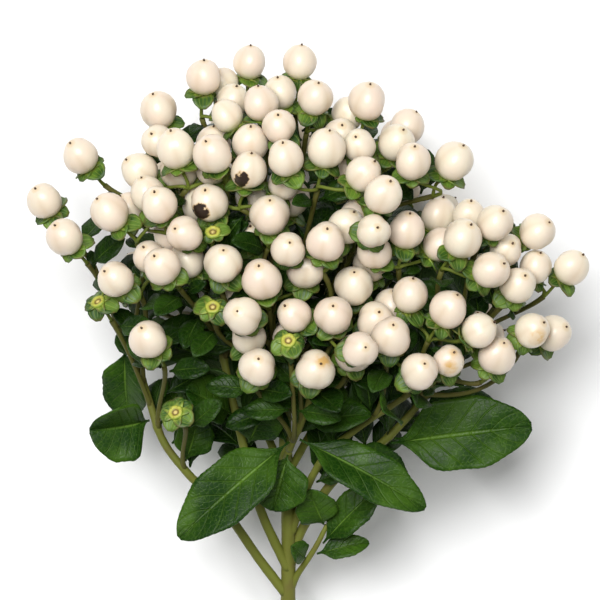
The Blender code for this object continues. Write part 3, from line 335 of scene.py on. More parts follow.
@dataclass
class Head:
    """The layout of the berries: where each sits, and the twig and stalk that carry it."""

    seed: int = 11
    centre: Vector = field(default_factory=lambda: Vector((2.0, 105.0, 0.0)))
    half_width: float = 99.0
    half_height: float = 81.0
    front_depth: float = 50.0
    back_depth: float = 37.0
    front_focus: Vector = field(default_factory=lambda: Vector((-3.0, 15.0, -72.0)))
    back_focus: Vector = field(default_factory=lambda: Vector((-3.0, 45.0, -8.0)))
    berry_radius: float = 5.5
    berry_radius_front: float = 6.5
    berry_radius_spread: float = 0.3
    lateral_sizes: tuple[float, float] = (0.865, 0.957)
    lateral_reach: float = 2.1
    lateral_set_back: float = 4.5
    lateral_lean: float = 0.45
    lateral_lean_spread: float = 0.15
    cyme_lean_spread: float = 0.22
    bare_size: float = 0.5
    pedicel_length: float = 8.0
    pedicel_radius: float = 0.65
    pedicel_gap: float = 0.8
    pedicel_bends: tuple[float, float] = (0.15, 0.3)
    pedicel_skip: int = 6
    twig_radius: float = 0.85
    twig_gap: float = 1.0
    twig_bends: tuple[float, float] = (0.12, 0.25)
    twig_skip: int = 4
    twig_reach: float = 55.0
    twig_shortest: float = 4.0
    twig_start_step: float = 4.0
    curve_points: int = 13
    curve_penalty: float = 40.0
    sepal_length: float = 6.6
    sepal_shares: tuple[float, ...] = (1.0, 0.82, 0.96, 0.74, 0.88)
    sepal_shortenings: tuple[float, ...] = (1.0, 0.85, 0.7, 0.55)
    sepal_extra_bends: tuple[float, ...] = (0, 25, 50, -30)
    sepal_ball: float = 0.4
    sepal_middle_ball: float = 0.8
    sepal_clearance: float = 0.55
    sepal_neighbourhood: float = 12.0
    sepal_bends: tuple[float, float] = (5, 45)
    sepal_most_bend: float = 95.0
    sepal_spread: tuple[float, float] = (0.94, 1.08)
    berry_gap: float = 0.7
    stem_gap: float = 0.8
    table_gap: float = 1.2
    foot_sink: float = 0.5
    spread_rounds: int = 160
    homing_rounds: int = 96
    homing: float = 0.06
    longest_move: float = 2.0
    weights: tuple[float, float, float] = (0.45, 0.45, 1.0)
    back_turn: float = 20.0
    back_twins_every: int = 3
    first_wood_owner: int = 10000
    first_twig_owner: int = 20000
    fruits: list[Fruit] = field(default_factory=list)
    twigs: list[tuple[str, list[Vector]]] = field(default_factory=list)
    obstacles: Obstacles = field(default_factory=Obstacles)

    def depth_at(self, x: float, y: float, depth: float) -> float:
        """Height of the head's surface over a place, times a share that is negative at the back."""
        inside = (1 - ((x - self.centre.x) / self.half_width) ** 2
                  - ((y - self.centre.y) / self.half_height) ** 2)
        return depth * (self.front_depth if depth > 0 else self.back_depth) * math.sqrt(max(inside, 0.02))

    def cyme(self, rng: random.Random, branch: str, place: tuple[float, float], depth: float, count: int = 1,
             roll: float = 0, size: float = 1.0) -> Fruit:
        """Adds the end berry of a cyme and its side berries, a little further back.

        Args:
            rng: the draws that vary it.
            branch: the shoot that bears it.
            place: where its end berry is, as the camera sees it.
            depth: the share of the head's depth.
            count: how many berries it has.
            roll: the angle of the first side berry, in degrees.
            size: the size of its berries.

        Returns:
            Its end berry.
        """
        number = self.fruits[-1].cyme + 1 if self.fruits else 0
        centre = Vector((*place, self.depth_at(*place, depth)))
        focus = self.front_focus if depth > 0 else self.back_focus
        axis = ((centre - focus).normalized() + self.lean(rng, self.cyme_lean_spread)).normalized()
        forward = max(0.0, centre.z) / self.front_depth
        radius = self.berry_radius + (self.berry_radius_front - self.berry_radius) * forward
        radius = size * (radius + rng.uniform(-1, 1) * self.berry_radius_spread)
        first = Fruit(branch, number, centre, axis, radius, spin=rng.uniform(0, math.tau))
        self.fruits.append(first)
        for k in range(count - 1):
            turn = math.radians(roll + GOLDEN_STEP * k)
            flat = Vector((math.cos(turn), math.sin(turn), 0))
            side = (flat - axis * flat.dot(axis)).normalized()
            where = centre + side * self.lateral_reach * radius - axis * self.lateral_set_back
            facing = (axis + self.lateral_lean * side + self.lean(rng, self.lateral_lean_spread)).normalized()
            smaller = radius * rng.uniform(*self.lateral_sizes)
            self.fruits.append(Fruit(branch, number, where, facing, smaller, spin=rng.uniform(0, math.tau)))
        return first

    @staticmethod
    def lean(rng: random.Random, spread: float) -> Vector:
        """A small random change of direction."""
        return Vector([rng.uniform(-spread, spread) for _ in range(3)])

    @staticmethod
    def nearest_back_shoot(x: float, y: float) -> str:
        """The back shoot whose tip is nearest to a place."""
        tips = {b.name: Vector(b.route[-1]) for b in SHOOTS if b.name in BACK_SHOOTS}
        return min(tips, key=lambda name: (tips[name] - Vector((x, y, tips[name].z))).length)

    def plan(self, rng: random.Random) -> None:
        """Adds all berries and bare calyces, where they would be if nothing pushed them apart."""
        for branch, rows in CYMES.items():
            for x, y, depth, count, roll in rows:
                size = SMALL_SIZE if (x, y) in SMALL_CYMES else 1.0
                self.cyme(rng, branch, (x, y), depth, count, roll, size)
        for branch, rows in BARE_CALYCES.items():
            for x, y, depth in rows:
                self.cyme(rng, branch, (x, y), depth, size=self.bare_size).bare = True
        for place in FEET:
            self.cyme(rng, self.nearest_back_shoot(*place), place, -1.0).foot = True
        for k in range(BACK_COUNT):
            turn = math.radians(GOLDEN_STEP * k + self.back_turn)
            out = math.sqrt((k + 0.5) / BACK_COUNT)
            x = BACK_CENTRE[0] + BACK_HALF_WIDTH * out * math.cos(turn)
            y = BACK_CENTRE[1] + BACK_HALF_HEIGHT * out * math.sin(turn)
            count = 2 if k % self.back_twins_every == 0 else 1
            self.cyme(rng, self.nearest_back_shoot(x, y), (x, y), -1.0, count, 360 * rng.random())

    def spread(self, wood: np.ndarray) -> None:
        """Moves the berries, mostly in depth, until they clear each other, the calyces and the wood."""
        homes = np.array([f.centre for f in self.fruits])
        centres = homes.copy()
        axes = np.array([f.axis for f in self.fruits])
        radii = np.array([f.radius for f in self.fruits])
        feet = np.array([f.foot for f in self.fruits])
        drop = radii * Fruit.STRETCH + Fruit.CALYX_HEIGHT * 0.5
        calyx_radii = np.full(len(radii), Fruit.CALYX_REACH)
        lowest = TABLE_Z + radii + self.table_gap
        for turn in range(self.spread_rounds):
            calyces = centres - axes * drop[:, None]
            own, _ = push_apart(centres, radii, centres, radii, self.berry_gap, True)
            berry, calyx = push_apart(centres, radii, calyces, calyx_radii, self.berry_gap, True)
            stem, _ = push_apart(centres, radii, wood[:, :3], wood[:, 3], self.stem_gap, False)
            moves = (own + berry + calyx + 2 * stem) * np.array(self.weights)
            centres += np.clip(moves, -self.longest_move, self.longest_move)
            if turn < self.homing_rounds:
                centres[:, :2] += self.homing * (homes - centres)[:, :2]
            standing = TABLE_Z + radii - self.foot_sink
            centres[:, 2] = np.where(feet, standing, np.maximum(centres[:, 2], lowest))
        for fruit, centre in zip(self.fruits, centres):
            fruit.centre = Vector(centre)

    def clearest(self, handles: list, costs: list, near: np.ndarray, radius: float,
                 gap: float) -> list[Vector]:
        """The cheapest of some curves.

        Args:
            handles: four handles for each curve.
            costs: what each costs by itself.
            near: the balls that it had better keep clear of.
            radius: the radius of what follows the curve.
            gap: the room wanted round it.

        Returns:
            The points of the cheapest curve.
        """
        t = np.linspace(0, 1, self.curve_points)
        basis = np.column_stack([(1 - t) ** 3, 3 * (1 - t) ** 2 * t, 3 * (1 - t) * t**2, t**3])
        lines = basis @ np.array(handles)
        free = clearance(lines[:, 1:-1], near) - radius
        crowding = np.clip(gap - free, 0, None) * self.curve_penalty
        return [Vector(p) for p in lines[int(np.argmin(np.array(costs) + crowding))]]

    @staticmethod
    def bulges(reach: Vector, bends: Sequence[float]) -> Iterator[tuple[Vector, float]]:
        """The ways, square to a direction, in which a curve along it may bulge, with how far."""
        left, right = across(reach)
        for bulge in (Vector(), left, -left, right, -right):
            for bend in bends:
                yield bulge, bend

    def twig(self, branch: Branch, first: Fruit, skip: list[int]) -> list[Vector]:
        """The twig from the branch's flowering part to a cyme's fork that keeps clearest of all else."""
        line, _ = branch.line(self.twig_start_step)
        ways = tangents(line)
        end = first.calyx - first.axis * self.pedicel_length
        handles, costs = [], []
        for i in range(int(branch.split * len(line)) + 2, len(line)):
            span = (end - line[i]).length
            if span < self.twig_shortest or span > self.twig_reach and i + 1 < len(line):
                continue
            reach = (end - line[i]) / span
            angle = math.degrees(ways[i].angle(reach))
            for bulge, bend in self.bulges(reach, self.twig_bends):
                out = line[i] + (ways[i] + 1.5 * reach).normalized() * span * 0.35 + bulge * span * bend
                back = end - (first.axis + 0.6 * reach).normalized() * span * 0.3 + bulge * span * bend
                handles.append((line[i], out, back, end))
                turn = max(0.0, angle - 40) * 0.5 + math.degrees(reach.angle(first.axis)) * 0.15
                costs.append(span * 0.6 + turn + bulge.length * bend * 20)
        near = self.obstacles.near(end, self.twig_reach, skip)
        return self.clearest(handles, costs, near, self.twig_radius, self.twig_gap)

    def pedicel(self, start: Vector, way: Vector, fruit: Fruit, skip: list[int]) -> list[Vector]:
        """The stalk from the fork to the calyx that keeps clearest of all else."""
        end = fruit.calyx
        span = (end - start).length
        handles, costs = [], []
        for bulge, bend in self.bulges((end - start).normalized(), self.pedicel_bends):
            out = start + way * span * 0.3 + bulge * span * bend
            back = end - fruit.axis * span * 0.35 + bulge * span * bend
            handles.append((start, out, back, end))
            costs.append(bulge.length * bend * 5)
        near = self.obstacles.near(end, span + 10, skip)
        return self.clearest(handles, costs, near, self.pedicel_radius, self.pedicel_gap)

    def calyx(self, rng: random.Random, fruit: Fruit, owner: int) -> None:
        """Five unequal sepals, each bent back or shortened until it clears its neighbours."""
        near = self.obstacles.near(fruit.seat, self.sepal_neighbourhood, [owner])
        for index in range(fruit.SEPALS):
            wanted = math.radians(rng.uniform(*self.sepal_bends))
            full = self.sepal_length * self.sepal_shares[index] * rng.uniform(*self.sepal_spread)
            best = None
            for share in self.sepal_shortenings:
                for more in self.sepal_extra_bends:
                    bend = min(wanted + math.radians(more), math.radians(self.sepal_most_bend))
                    shoulders, tip = fruit.sepal_lines(index, full * share, bend)
                    free = clearance([*shoulders, tip, (tip + fruit.seat) / 2], near) - self.sepal_ball
                    cost = max(0.0, self.sepal_clearance - free) * 10 + (1 - share) * 2 + abs(more) / 100
                    if best is None or cost < best[0]:
                        best = (cost, full * share, bend)
            fruit.sepals.append(best[1:])
        for index in range(fruit.SEPALS):
            shoulders, tip = fruit.sepal_lines(index, *fruit.sepals[index])
            self.obstacles.add([*shoulders, tip], self.sepal_ball, owner)
            self.obstacles.add([(tip + fruit.seat) / 2], self.sepal_middle_ball, owner)

    def grow(self) -> None:
        """Lays out fruits, twigs, stalks and sepals, in the same order as the solids."""
        rng = random.Random(self.seed)
        self.plan(rng)
        branches = {b.name: b for b in WOOD}
        owners = {name: self.first_wood_owner + i for i, name in enumerate(branches)}
        wood = []
        for name, branch in branches.items():
            line, radii = branch.line()
            wood += [(*p, r) for p, r in zip(line, radii)]
            self.obstacles.add(line, radii, owners[name])
        self.spread(np.array(wood))
        for i, fruit in enumerate(self.fruits):
            if not fruit.bare:
                self.obstacles.add([fruit.centre], fruit.radius, i)
            self.obstacles.add([fruit.seat - fruit.axis * Fruit.CALYX_HEIGHT / 2], fruit.CALYX_REACH, i)
        for number in range(self.fruits[-1].cyme + 1):
            rows = [i for i, f in enumerate(self.fruits) if f.cyme == number]
            first = self.fruits[rows[0]]
            owner = self.first_twig_owner + number
            own = owners[first.branch]
            points = self.twig(branches[first.branch], first, [*rows, own])
            self.obstacles.add(resample(points[::self.twig_skip], OBSTACLE_STEP), self.twig_radius, owner)
            self.twigs.append((first.branch, points))
            way = (points[-1] - points[-2]).normalized()
            for i in rows:
                fruit = self.fruits[i]
                fruit.pedicel = self.pedicel(points[-1], way, fruit, [i, owner, own])
                stalk = resample(fruit.pedicel[::self.pedicel_skip], OBSTACLE_STEP)
                self.obstacles.add(stalk, self.pedicel_radius, i)
        for i, fruit in enumerate(self.fruits):
            self.calyx(rng, fruit, i)


SHOWN_LEAVES = (
    ("left_arm", (-46, 62, 7), (-70, 57, 14), (-0.1, -0.5, 1), 24, 0.5),
    ("front_lower", (-3, 54, 14), (-40, 21, 19), (-0.1, 0.2, 1), 21, 0.25),
    ("front_lower", (2, 54, 14), (43, 34, 18), (0.1, 0.3, 1), 17, 0.25),
    ("front_lower", (-3, 50, 8), (-9, 30, 9), (0, 0.2, 1), 20, 0.25),
    ("right_arm", (30, 53, 5), (77, 58, 10), (0.1, 0.1, 1), 25, 0.2),
    ("right_arm", (36, 62, 3), (66, 64, -8), (0.1, 0.5, 1), 16, 0.25),
    ("leafy_shoot", (7, 20, -4), (27, 38, 2), (-0.3, 0.2, 1), 13, 0.25),
    ("leafy_shoot", (9, 25, -3), (3, 37, 8), (0, -0.3, 1), 14, 0.25),
    ("leafy_shoot", (5, 16, -5), (23, 19, -2), (0, 0.3, 1), 8, 0.25),
    ("leafy_shoot", (3, 14, -6), (-3, 18, 2), (0, 0.3, 1), 8, 0.25),
    ("left_arm", (-57, 85, 4), (-57, 61, -4), (-0.3, 0, 1), 16, 0.25),
    ("left_upper", (-22, 62, 8), (-38, 70, 20), (0, 0.5, 1), 17, 0.25),
    ("left_upper", (-19, 52, 6), (-10, 68, 20), (0, -0.5, 1), 16, 0.25),
    ("left_arm", (-40, 46, 5), (-34, 62, 14), (0.4, -0.2, 1), 14, 0.25),
)

# Opposite pairs by rule: shoot, shares of its length, turn of the first pair, length
PAIRED_LEAVES = (
    ("front_lower", (0.5, 0.8), 25, 26),
    ("right_low", (0.50, 0.76), 100, 30),
    ("left_upper", (0.40, 0.56, 0.72), 0, 34),
    ("right_arm", (0.50, 0.66, 0.82), 80, 32),
    ("left_arm", (0.56,), 0, 30),
    ("left_arm", (0.68,), 20, 28),
    ("front_upper", (0.45, 0.75), 80, 28),
    ("top_left", (0.35, 0.65), 60, 32),
    ("right_upper", (0.35, 0.65), 30, 32),
    ("crown", (0.25,), 10, 30),
    ("back_left", (0.4, 0.7), 40, 34),
    ("back_right", (0.4, 0.7), 40, 34),
    ("back_upper", (0.5,), 0, 32),
)


@dataclass
class Leaf:
    """A blade from its base to its tip, with the side that faces up, its width, droop and fold."""

    TAPER: ClassVar[float] = 0.30
    WIDEST_POWER: ClassVar[float] = 1.1
    BLUNTNESS: ClassVar[float] = 0.58
    WAVE: ClassVar[float] = 0.09
    CRENATE: ClassVar[float] = 0.035
    BASE_HALF_WIDTH: ClassVar[float] = 0.3
    THICKNESS: ClassVar[float] = 0.7
    TEST_THICKNESS: ClassVar[float] = 1.8
    TEST_ROWS: ClassVar[int] = 7
    TEST_COLUMNS: ClassVar[int] = 3
    SIDE_VEINS: ClassVar[float] = 7.0
    VEIN_SWEEP: ClassVar[float] = 0.24
    TOOTH_STEP: ClassVar[float] = 2.3
    TOOTH_DEPTH: ClassVar[float] = 0.28
    ROWS_PER_TOOTH: ClassVar[int] = 3

    name: str
    branch: str
    base: Vector
    tip: Vector
    face: Vector
    width: float
    droop: float = 0.5
    fold: float = 0.25
    phase: float = 0.0

    @property
    def length(self) -> float:
        """The distance from the base to the tip."""
        return (self.tip - self.base).length

    def half_width(self, u: float) -> float:
        """Half the blade's width at a share of its length: oval, with a tapered base and a blunt tip."""
        crenate = 1 + self.CRENATE * math.cos(u * math.pi * (self.TEST_ROWS - 1))
        taper = min(1.0, u / self.TAPER) ** 2 * (3 - 2 * min(1.0, u / self.TAPER))
        oval = math.sin(math.pi * min(u, 0.995) ** self.WIDEST_POWER) ** self.BLUNTNESS
        return max(self.BASE_HALF_WIDTH, self.width / 2 * oval * taper * crenate)

    @property
    def teeth(self) -> int:
        """How many teeth each edge has."""
        return max(3, round(self.length / self.TOOTH_STEP))

    def tooth(self, u: float) -> float:
        """How far the edge stands out at a share of the length, rising to each tooth."""
        return self.TOOTH_DEPTH * (u * self.teeth % 1.0) * math.sin(math.pi * u) ** 0.5

    def point(self, u: float, v: float, relief: float = 0.0, tooth: float = 0.0) -> Vector:
        """A place on the blade.

        Args:
            u: the share of the way from base to tip.
            v: from -1 at one edge to 1 at the other.
            relief: how high above the middle surface, towards the upper side.
            tooth: how far the edge stands out there.

        Returns:
            The place.
        """
        chord = self.tip - self.base
        along = chord.normalized()
        side = along.cross(self.face).normalized()
        up = side.cross(along)
        half = self.droop / 2
        start = along * math.cos(half) + up * math.sin(half)
        rise = up * math.cos(half) - along * math.sin(half)
        length = chord.length * half / math.sin(half)
        turn = self.droop * u
        spine = self.base + length / self.droop * (start * math.sin(turn) - rise * (1 - math.cos(turn)))
        lift = rise * math.cos(turn) + start * math.sin(turn)
        out = self.half_width(u) * v + (tooth * v if abs(v) == 1 else 0.0)
        wave = self.WAVE * abs(out) * math.sin(9 * u + self.phase + 1.5 * v)
        return (spine + side * out * math.cos(self.fold)
                + lift * (abs(out) * math.sin(self.fold) + wave + relief))

    def grid(self, rows: int, columns: int, quilt: float = 0.0) -> list[list[Vector]]:
        """The middle surface as rows from base to tip, toothed if its fields bulge by a quilt."""
        made = []
        for u in (i / (rows - 1) for i in range(rows)):
            tooth = self.tooth(u) if quilt else 0.0
            made.append([self.point(u, v, quilt * self.bulge(u, v) if quilt else 0.0, tooth)
                         for v in (2 * j / (columns - 1) - 1 for j in range(columns))])
        return made

    def bulge(self, u: float, v: float) -> float:
        """How high the quilted blade stands at a place, with its side veins and midrib sunk."""
        out = abs(v)
        field_wave = 0.5 - 0.5 * math.cos(math.tau * self.SIDE_VEINS * (u - self.VEIN_SWEEP * out))
        inner = min(1.0, 3 * out)
        return field_wave * inner * (1 - out**3) + 0.8 * inner

    def tree(self) -> BVHTree:
        """A thick form of the blade, to see whether two blades would touch."""
        grid = self.grid(self.TEST_ROWS, self.TEST_COLUMNS)
        corners = []
        faces = []
        for row, after in zip(grid, grid[1:]):
            for j in range(self.TEST_COLUMNS - 1):
                a, b, c, d = row[j], row[j + 1], after[j + 1], after[j]
                lift = (b - a).cross(d - a).normalized() * self.TEST_THICKNESS / 2
                start = len(corners)
                corners += [p + s * lift for s in (1, -1) for p in (a, b, c, d)]
                faces += [tuple(start + k for k in face) for face in
                          ((0, 1, 2), (0, 2, 3), (4, 6, 5), (4, 7, 6), (0, 4, 5), (0, 5, 1), (2, 6, 7),
                           (2, 7, 3), (0, 3, 7), (0, 7, 4), (1, 5, 6), (1, 6, 2))]
        return BVHTree.FromPolygons(corners, faces)


@dataclass
class Foliage:
    """All leaves: the ones that show, the pairs by rule, and the small ones among the berries."""

    most_leaves: int = 45
    seat: float = 0.8
    width_share: float = 0.55
    turn_to_light: float = 1.2
    clearance: float = 0.8
    base_clearance: float = 0.06
    outline: float = 0.74
    outline_bottom: float = 58.0
    low_top: float = 12.0
    small_bottom: float = 22.0
    reach: float = 52.0
    table_gap: float = 1.2
    half_reach: float = 4.0
    coarse_rows: int = 5
    fine_rows: int = 13
    fine_columns: int = 7
    phase_step: float = 1.7
    shrink: float = 0.12
    crosswise: float = 90.0
    bract_lengths: tuple[float, ...] = (15.0, 12.0, 9.0)
    bract_seed: int = 23
    filler_shares: tuple[float, ...] = (0.26, 0.34, 0.42, 0.5, 0.6, 0.7, 0.8, 0.9)
    filler_length: float = 23.0
    filler_spread: tuple[float, float] = (0.8, 1.15)
    slope: float = 0.9
    leaves: list[Leaf] = field(default_factory=list)
    small: list[Leaf] = field(default_factory=list)
    trees: list[BVHTree] = field(default_factory=list)

    def sticks_out(self, place: Vector, head: Head) -> bool:
        """Whether a leaf's tip shows outside the head, or stands in front of the large leaves below it."""
        if place.y < self.outline_bottom:
            return place.z > self.low_top
        out = math.hypot((place.x - head.centre.x) / head.half_width,
                         (place.y - head.centre.y) / head.half_height)
        return out > self.outline

    def fits(self, leaf: Leaf, near: np.ndarray) -> BVHTree | None:
        """The thick form of a blade that clears the balls near it and the blades in place, or else None."""
        middle = (leaf.base + leaf.tip) / 2
        apart = np.sqrt(((near[:, :3] - np.array(middle)) ** 2).sum(axis=1)) - near[:, 3]
        near = near[apart < (leaf.tip - leaf.base).length / 2 + self.half_reach]
        skin = leaf.THICKNESS / 2
        coarse = leaf.grid(self.coarse_rows, leaf.TEST_COLUMNS)
        if clearance([p for row in coarse[1:] for p in row], near) < self.clearance + skin:
            return None
        grid = leaf.grid(self.fine_rows, self.fine_columns)
        if min(p.z for row in grid for p in row) < TABLE_Z + self.table_gap:
            return None
        for rows, room in ((grid[3:], self.clearance), (grid[:3], self.base_clearance)):
            if clearance([p for row in rows for p in row], near) < room + skin:
                return None
        tree = leaf.tree()
        return None if any(tree.overlap(other) for other in self.trees) else tree

    def keep_first(self, candidates: Iterator[Leaf], head: Head, kept: list[Leaf]) -> bool:
        """Keeps the first of some turns of a blade that has room.

        Args:
            candidates: the turns, the best first.
            head: the layout that it has to clear.
            kept: the list that takes it.

        Returns:
            Whether any had room.
        """
        near = None
        for leaf in candidates:
            if near is None:
                near = head.obstacles.near(leaf.base, self.reach)
            tree = self.fits(leaf, near)
            if tree is not None:
                kept.append(leaf)
                self.trees.append(tree)
                return True
        return False

    def seated(self, line: list[Vector], radii: list[float], place: Vector, way: Vector) -> Vector:
        """Where a blade that leaves in some direction meets the bark nearest to a place."""
        i = min(range(len(line)), key=lambda k: (line[k] - place).length)
        trunk = tangents(line)[i]
        out = (way - trunk * way.dot(trunk)).normalized()
        return line[i] + out * (radii[i] + self.seat)

    def shown(self, index: int, row: tuple, line: list[Vector], radii: list[float]) -> Iterator[Leaf]:
        """Turns of one leaf that shows, each a little further from its place."""
        branch, base, tip, face, width, fold = row
        tries = sorted(((share, lift, swing) for share in (1.0, 0.92, 0.84) for lift in range(-9, 10, 3)
                        for swing in (0, 0.08, -0.08)),
                       key=lambda t: 60 * (1 - t[0]) + abs(t[1]) + 30 * abs(t[2]))
        for share, lift, swing in tries:
            reach = Vector(tip) - Vector(base)
            end = Vector(base) + reach * share + Vector((0, 0, lift)) + Vector((-reach.y, reach.x, 0)) * swing
            start = self.seated(line, radii, Vector(base), end - Vector(base))
            yield Leaf(f"leaf_{index:02d}", branch, start, end, Vector(face).normalized(), width * share,
                       fold=fold, phase=index * self.phase_step)

    def paired(self, index: int, branch: str, place: Vector, trunk: Vector, turn: float, length: float,
               radius: float, head: Head, small: bool = False) -> Iterator[Leaf]:
        """Turns of one leaf of a pair, each a little further from its place."""
        first, second = across(trunk)
        tries = [(share, pitch, twist, droop) for share in (1.0, 0.85, 0.7, 0.55) for pitch in (58, 40, 76)
                 for twist in (0, 18, -18, 36, -36) for droop in (0.5, 0.9)]
        for share, pitch, twist, droop in tries:
            angle = math.radians(turn + twist)
            out = first * math.cos(angle) + second * math.sin(angle)
            lean = math.radians(pitch)
            way = trunk * math.cos(lean) + out * math.sin(lean)
            light = Vector((0, 0, -1 if branch in BACK_SHOOTS else 1)) * self.turn_to_light
            face = trunk * math.sin(lean) - out * math.cos(lean) + light
            face = (face - way * face.dot(way)).normalized()
            start = place + out * (radius + self.seat)
            reach = length * share
            sunk = droop / 2
            end = start + reach * (way * math.cos(sunk) - face * math.sin(sunk))
            if self.sticks_out(end, head) or small and abs(end.x) > self.slope * (end.y - self.small_bottom):
                continue
            yield Leaf(f"leaf_{index:02d}", branch, start, end, (face + way * sunk).normalized(),
                       reach * self.width_share, droop=droop, phase=index * self.phase_step)

    def grow(self, head: Head) -> None:
        """Lays out the leaves of the solids, in the same order as there, clear of the head."""
        branches = {b.name: b for b in WOOD}
        for row in SHOWN_LEAVES:
            line, radii = branches[row[0]].line()
            self.keep_first(self.shown(len(self.leaves), row, line, radii), head, self.leaves)
        for name, shares, first_turn, length in PAIRED_LEAVES:
            line, radii = branches[name].line()
            ways = tangents(line)
            for k, share in enumerate(shares):
                i = round(share * (len(line) - 1))
                turn = first_turn + self.crosswise * k
                for side in OPPOSITE:
                    if len(self.leaves) == self.most_leaves:
                        return
                    candidates = self.paired(len(self.leaves), name, line[i], ways[i], turn + side,
                                             length * (1 - self.shrink * k), radii[i], head)
                    self.keep_first(candidates, head, self.leaves)

    def grow_small(self, head: Head) -> None:
        """Lays out the small leaves: more pairs along the shoots, and two bracts below each cyme's fork."""
        rng = random.Random(self.bract_seed)
        for branch in SHOOTS:
            line, radii = branch.line()
            ways = tangents(line)
            for share in self.filler_shares:
                i = round(share * (len(line) - 1))
                turn = rng.uniform(0, 180)
                for side in OPPOSITE:
                    length = self.filler_length * rng.uniform(*self.filler_spread)
                    candidates = self.paired(len(self.small), branch.name, line[i], ways[i], turn + side,
                                             length, radii[i], head, True)
                    self.keep_first(candidates, head, self.small)
        for name, points in head.twigs:
            ways = tangents(points)
            for i in (len(points) - 2, len(points) // 2):
                turn = rng.uniform(0, 180)
                for side in OPPOSITE:
                    for length in self.bract_lengths:
                        candidates = self.paired(len(self.small), name, points[i], ways[i], turn + side,
                                                 length, head.twig_radius, head, True)
                        if self.keep_first(candidates, head, self.small):
                            break


class Piece:
    """One mesh in the making, from places in millimetres of the layout."""

    def __init__(self, name: str, *layers: str) -> None:
        self.name = name
        self.bm = bmesh.new()
        self.uv = self.bm.loops.layers.uv.new("UVMap")
        self.layers = {layer: self.bm.verts.layers.float.new(layer) for layer in layers}

    def mark(self, verts: Sequence[bmesh.types.BMVert], **values: float) -> None:
        """Writes values into the layers of some vertices."""
        for name, value in values.items():
            layer = self.layers[name]
            for vert in verts:
                vert[layer] = value

    def sheet(self, rows: Sequence[Sequence[Vector]], closed: bool = False, material: int = 0) -> list[list]:
        """A smooth surface through rows of places.

        Args:
            rows: the rows, each with as many places.
            closed: whether each row is a ring, and the first and last rings are capped.
            material: the material slot of its faces.

        Returns:
            The vertices, row by row.
        """
        width = len(rows[0]) + closed
        made = bmesh.ops.create_grid(self.bm, x_segments=width - 1, y_segments=len(rows) - 1, size=1,
                                     calc_uvs=True)["verts"]
        table = [made[i * width:(i + 1) * width] for i in range(len(rows))]
        for verts, places in zip(table, rows):
            for j, vert in enumerate(verts):
                vert.co = (places[j % len(places)] - ORIGIN) * MM
        for face in {f for v in made for f in v.link_faces}:
            face.material_index = material
            face.smooth = True
        if closed:
            bmesh.ops.weld_verts(self.bm, targetmap={verts[-1]: verts[0] for verts in table})
            table = [verts[:-1] for verts in table]
            for verts in (table[0], table[-1]):
                for face in bmesh.ops.contextual_create(self.bm, geom=verts)["faces"]:
                    face.material_index = material
        return table

    def tube(self, points: Sequence[Vector], radii: Sequence[float], sides: int, material: int = 0,
             wobble: float = 0.0) -> list[list]:
        """A closed round shoot along a line.

        Args:
            points: the line.
            radii: its radius at each point.
            sides: how many places go round it.
            material: the material slot of its faces.
            wobble: the share by which noise varies the radius.

        Returns:
            The vertices, ring by ring.
        """
        ways = tangents(points)
        side = across(ways[0])[0]
        rings = []
        for point, way, radius in zip(points, ways, radii):
            side = (side - way * side.dot(way)).normalized()
            other = way.cross(side)
            ring = []
            for turn in (math.tau * k / sides for k in range(sides)):
                out = side * math.cos(turn) + other * math.sin(turn)
                grown = radius * (1 + wobble * noise.noise((point + out * radius) * BARK_NOISE))
                ring.append(point + out * grown)
            rings.append(ring)
        return self.sheet(rings, True, material)

    def made(self, *materials: Shader) -> bpy.types.Object:
        """The object, with its materials in the order of their slots."""
        mesh = bpy.data.meshes.new(self.name)
        self.bm.to_mesh(mesh)
        self.bm.free()
        for material in materials:
            mesh.materials.append(material)
        made = bpy.data.objects.new(self.name, mesh)
        bpy.context.scene.collection.objects.link(made)
        LOG.info("%s: %d faces", self.name, len(mesh.polygons))
        return made

    def finish(self, node: str | None, slot: Slot, *materials: Shader, thickness: float = 0.0) -> None:
        """Turns the mesh into a piece of the scene.

        Args:
            node: the CAD node that it stands for, if any.
            slot: the kind of material; it is not used.
            materials: its materials, in the order of their slots.
            thickness: what its sheets are thickened to, if they are.
        """
        for vert in self.bm.verts:
            vert.co.z = max(vert.co.z, 0.0)
        if not thickness:
            bmesh.ops.recalc_face_normals(self.bm, faces=self.bm.faces)
        made = self.made(*materials)
        if thickness:
            solid = made.modifiers.new("thickness", "SOLIDIFY")
            solid.thickness = thickness * MM
            solid.offset = 0
            solid.material_offset = len(materials) - 1
        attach(made, "root")
        if node:
            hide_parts(node)


class Value:
    """A socket that carries a number, in sums that add Math nodes."""

    def __init__(self, paint: "Paint", socket: bpy.types.NodeSocket) -> None:
        self.paint = paint
        self.socket = socket

    def maths(self, operation: str, *others: "Value | float") -> "Value":
        """The outcome of a Math node on this value and others."""
        return self.paint.value("ShaderNodeMath", dict(enumerate((self, *others))), operation=operation)

    __add__ = __radd__ = partialmethod(maths, "ADD")
    __sub__ = partialmethod(maths, "SUBTRACT")
    __mul__ = __rmul__ = partialmethod(maths, "MULTIPLY")
    __abs__ = partialmethod(maths, "ABSOLUTE")
    fraction = partialmethod(maths, "FRACT")

    def __rsub__(self, other: float) -> "Value":
        """A number less this value."""
        return self.paint.value("ShaderNodeMath", {0: other, 1: self}, operation="SUBTRACT")

    def smooth(self, low: float, high: float) -> "Value":
        """A smooth step from 0 at one bound to 1 at the other, which may be the lower one."""
        sockets = {"Value": self, "From Min": min(low, high), "From Max": max(low, high)}
        step = self.paint.value("ShaderNodeMapRange", sockets, interpolation_type="SMOOTHSTEP")
        return 1 - step if low > high else step


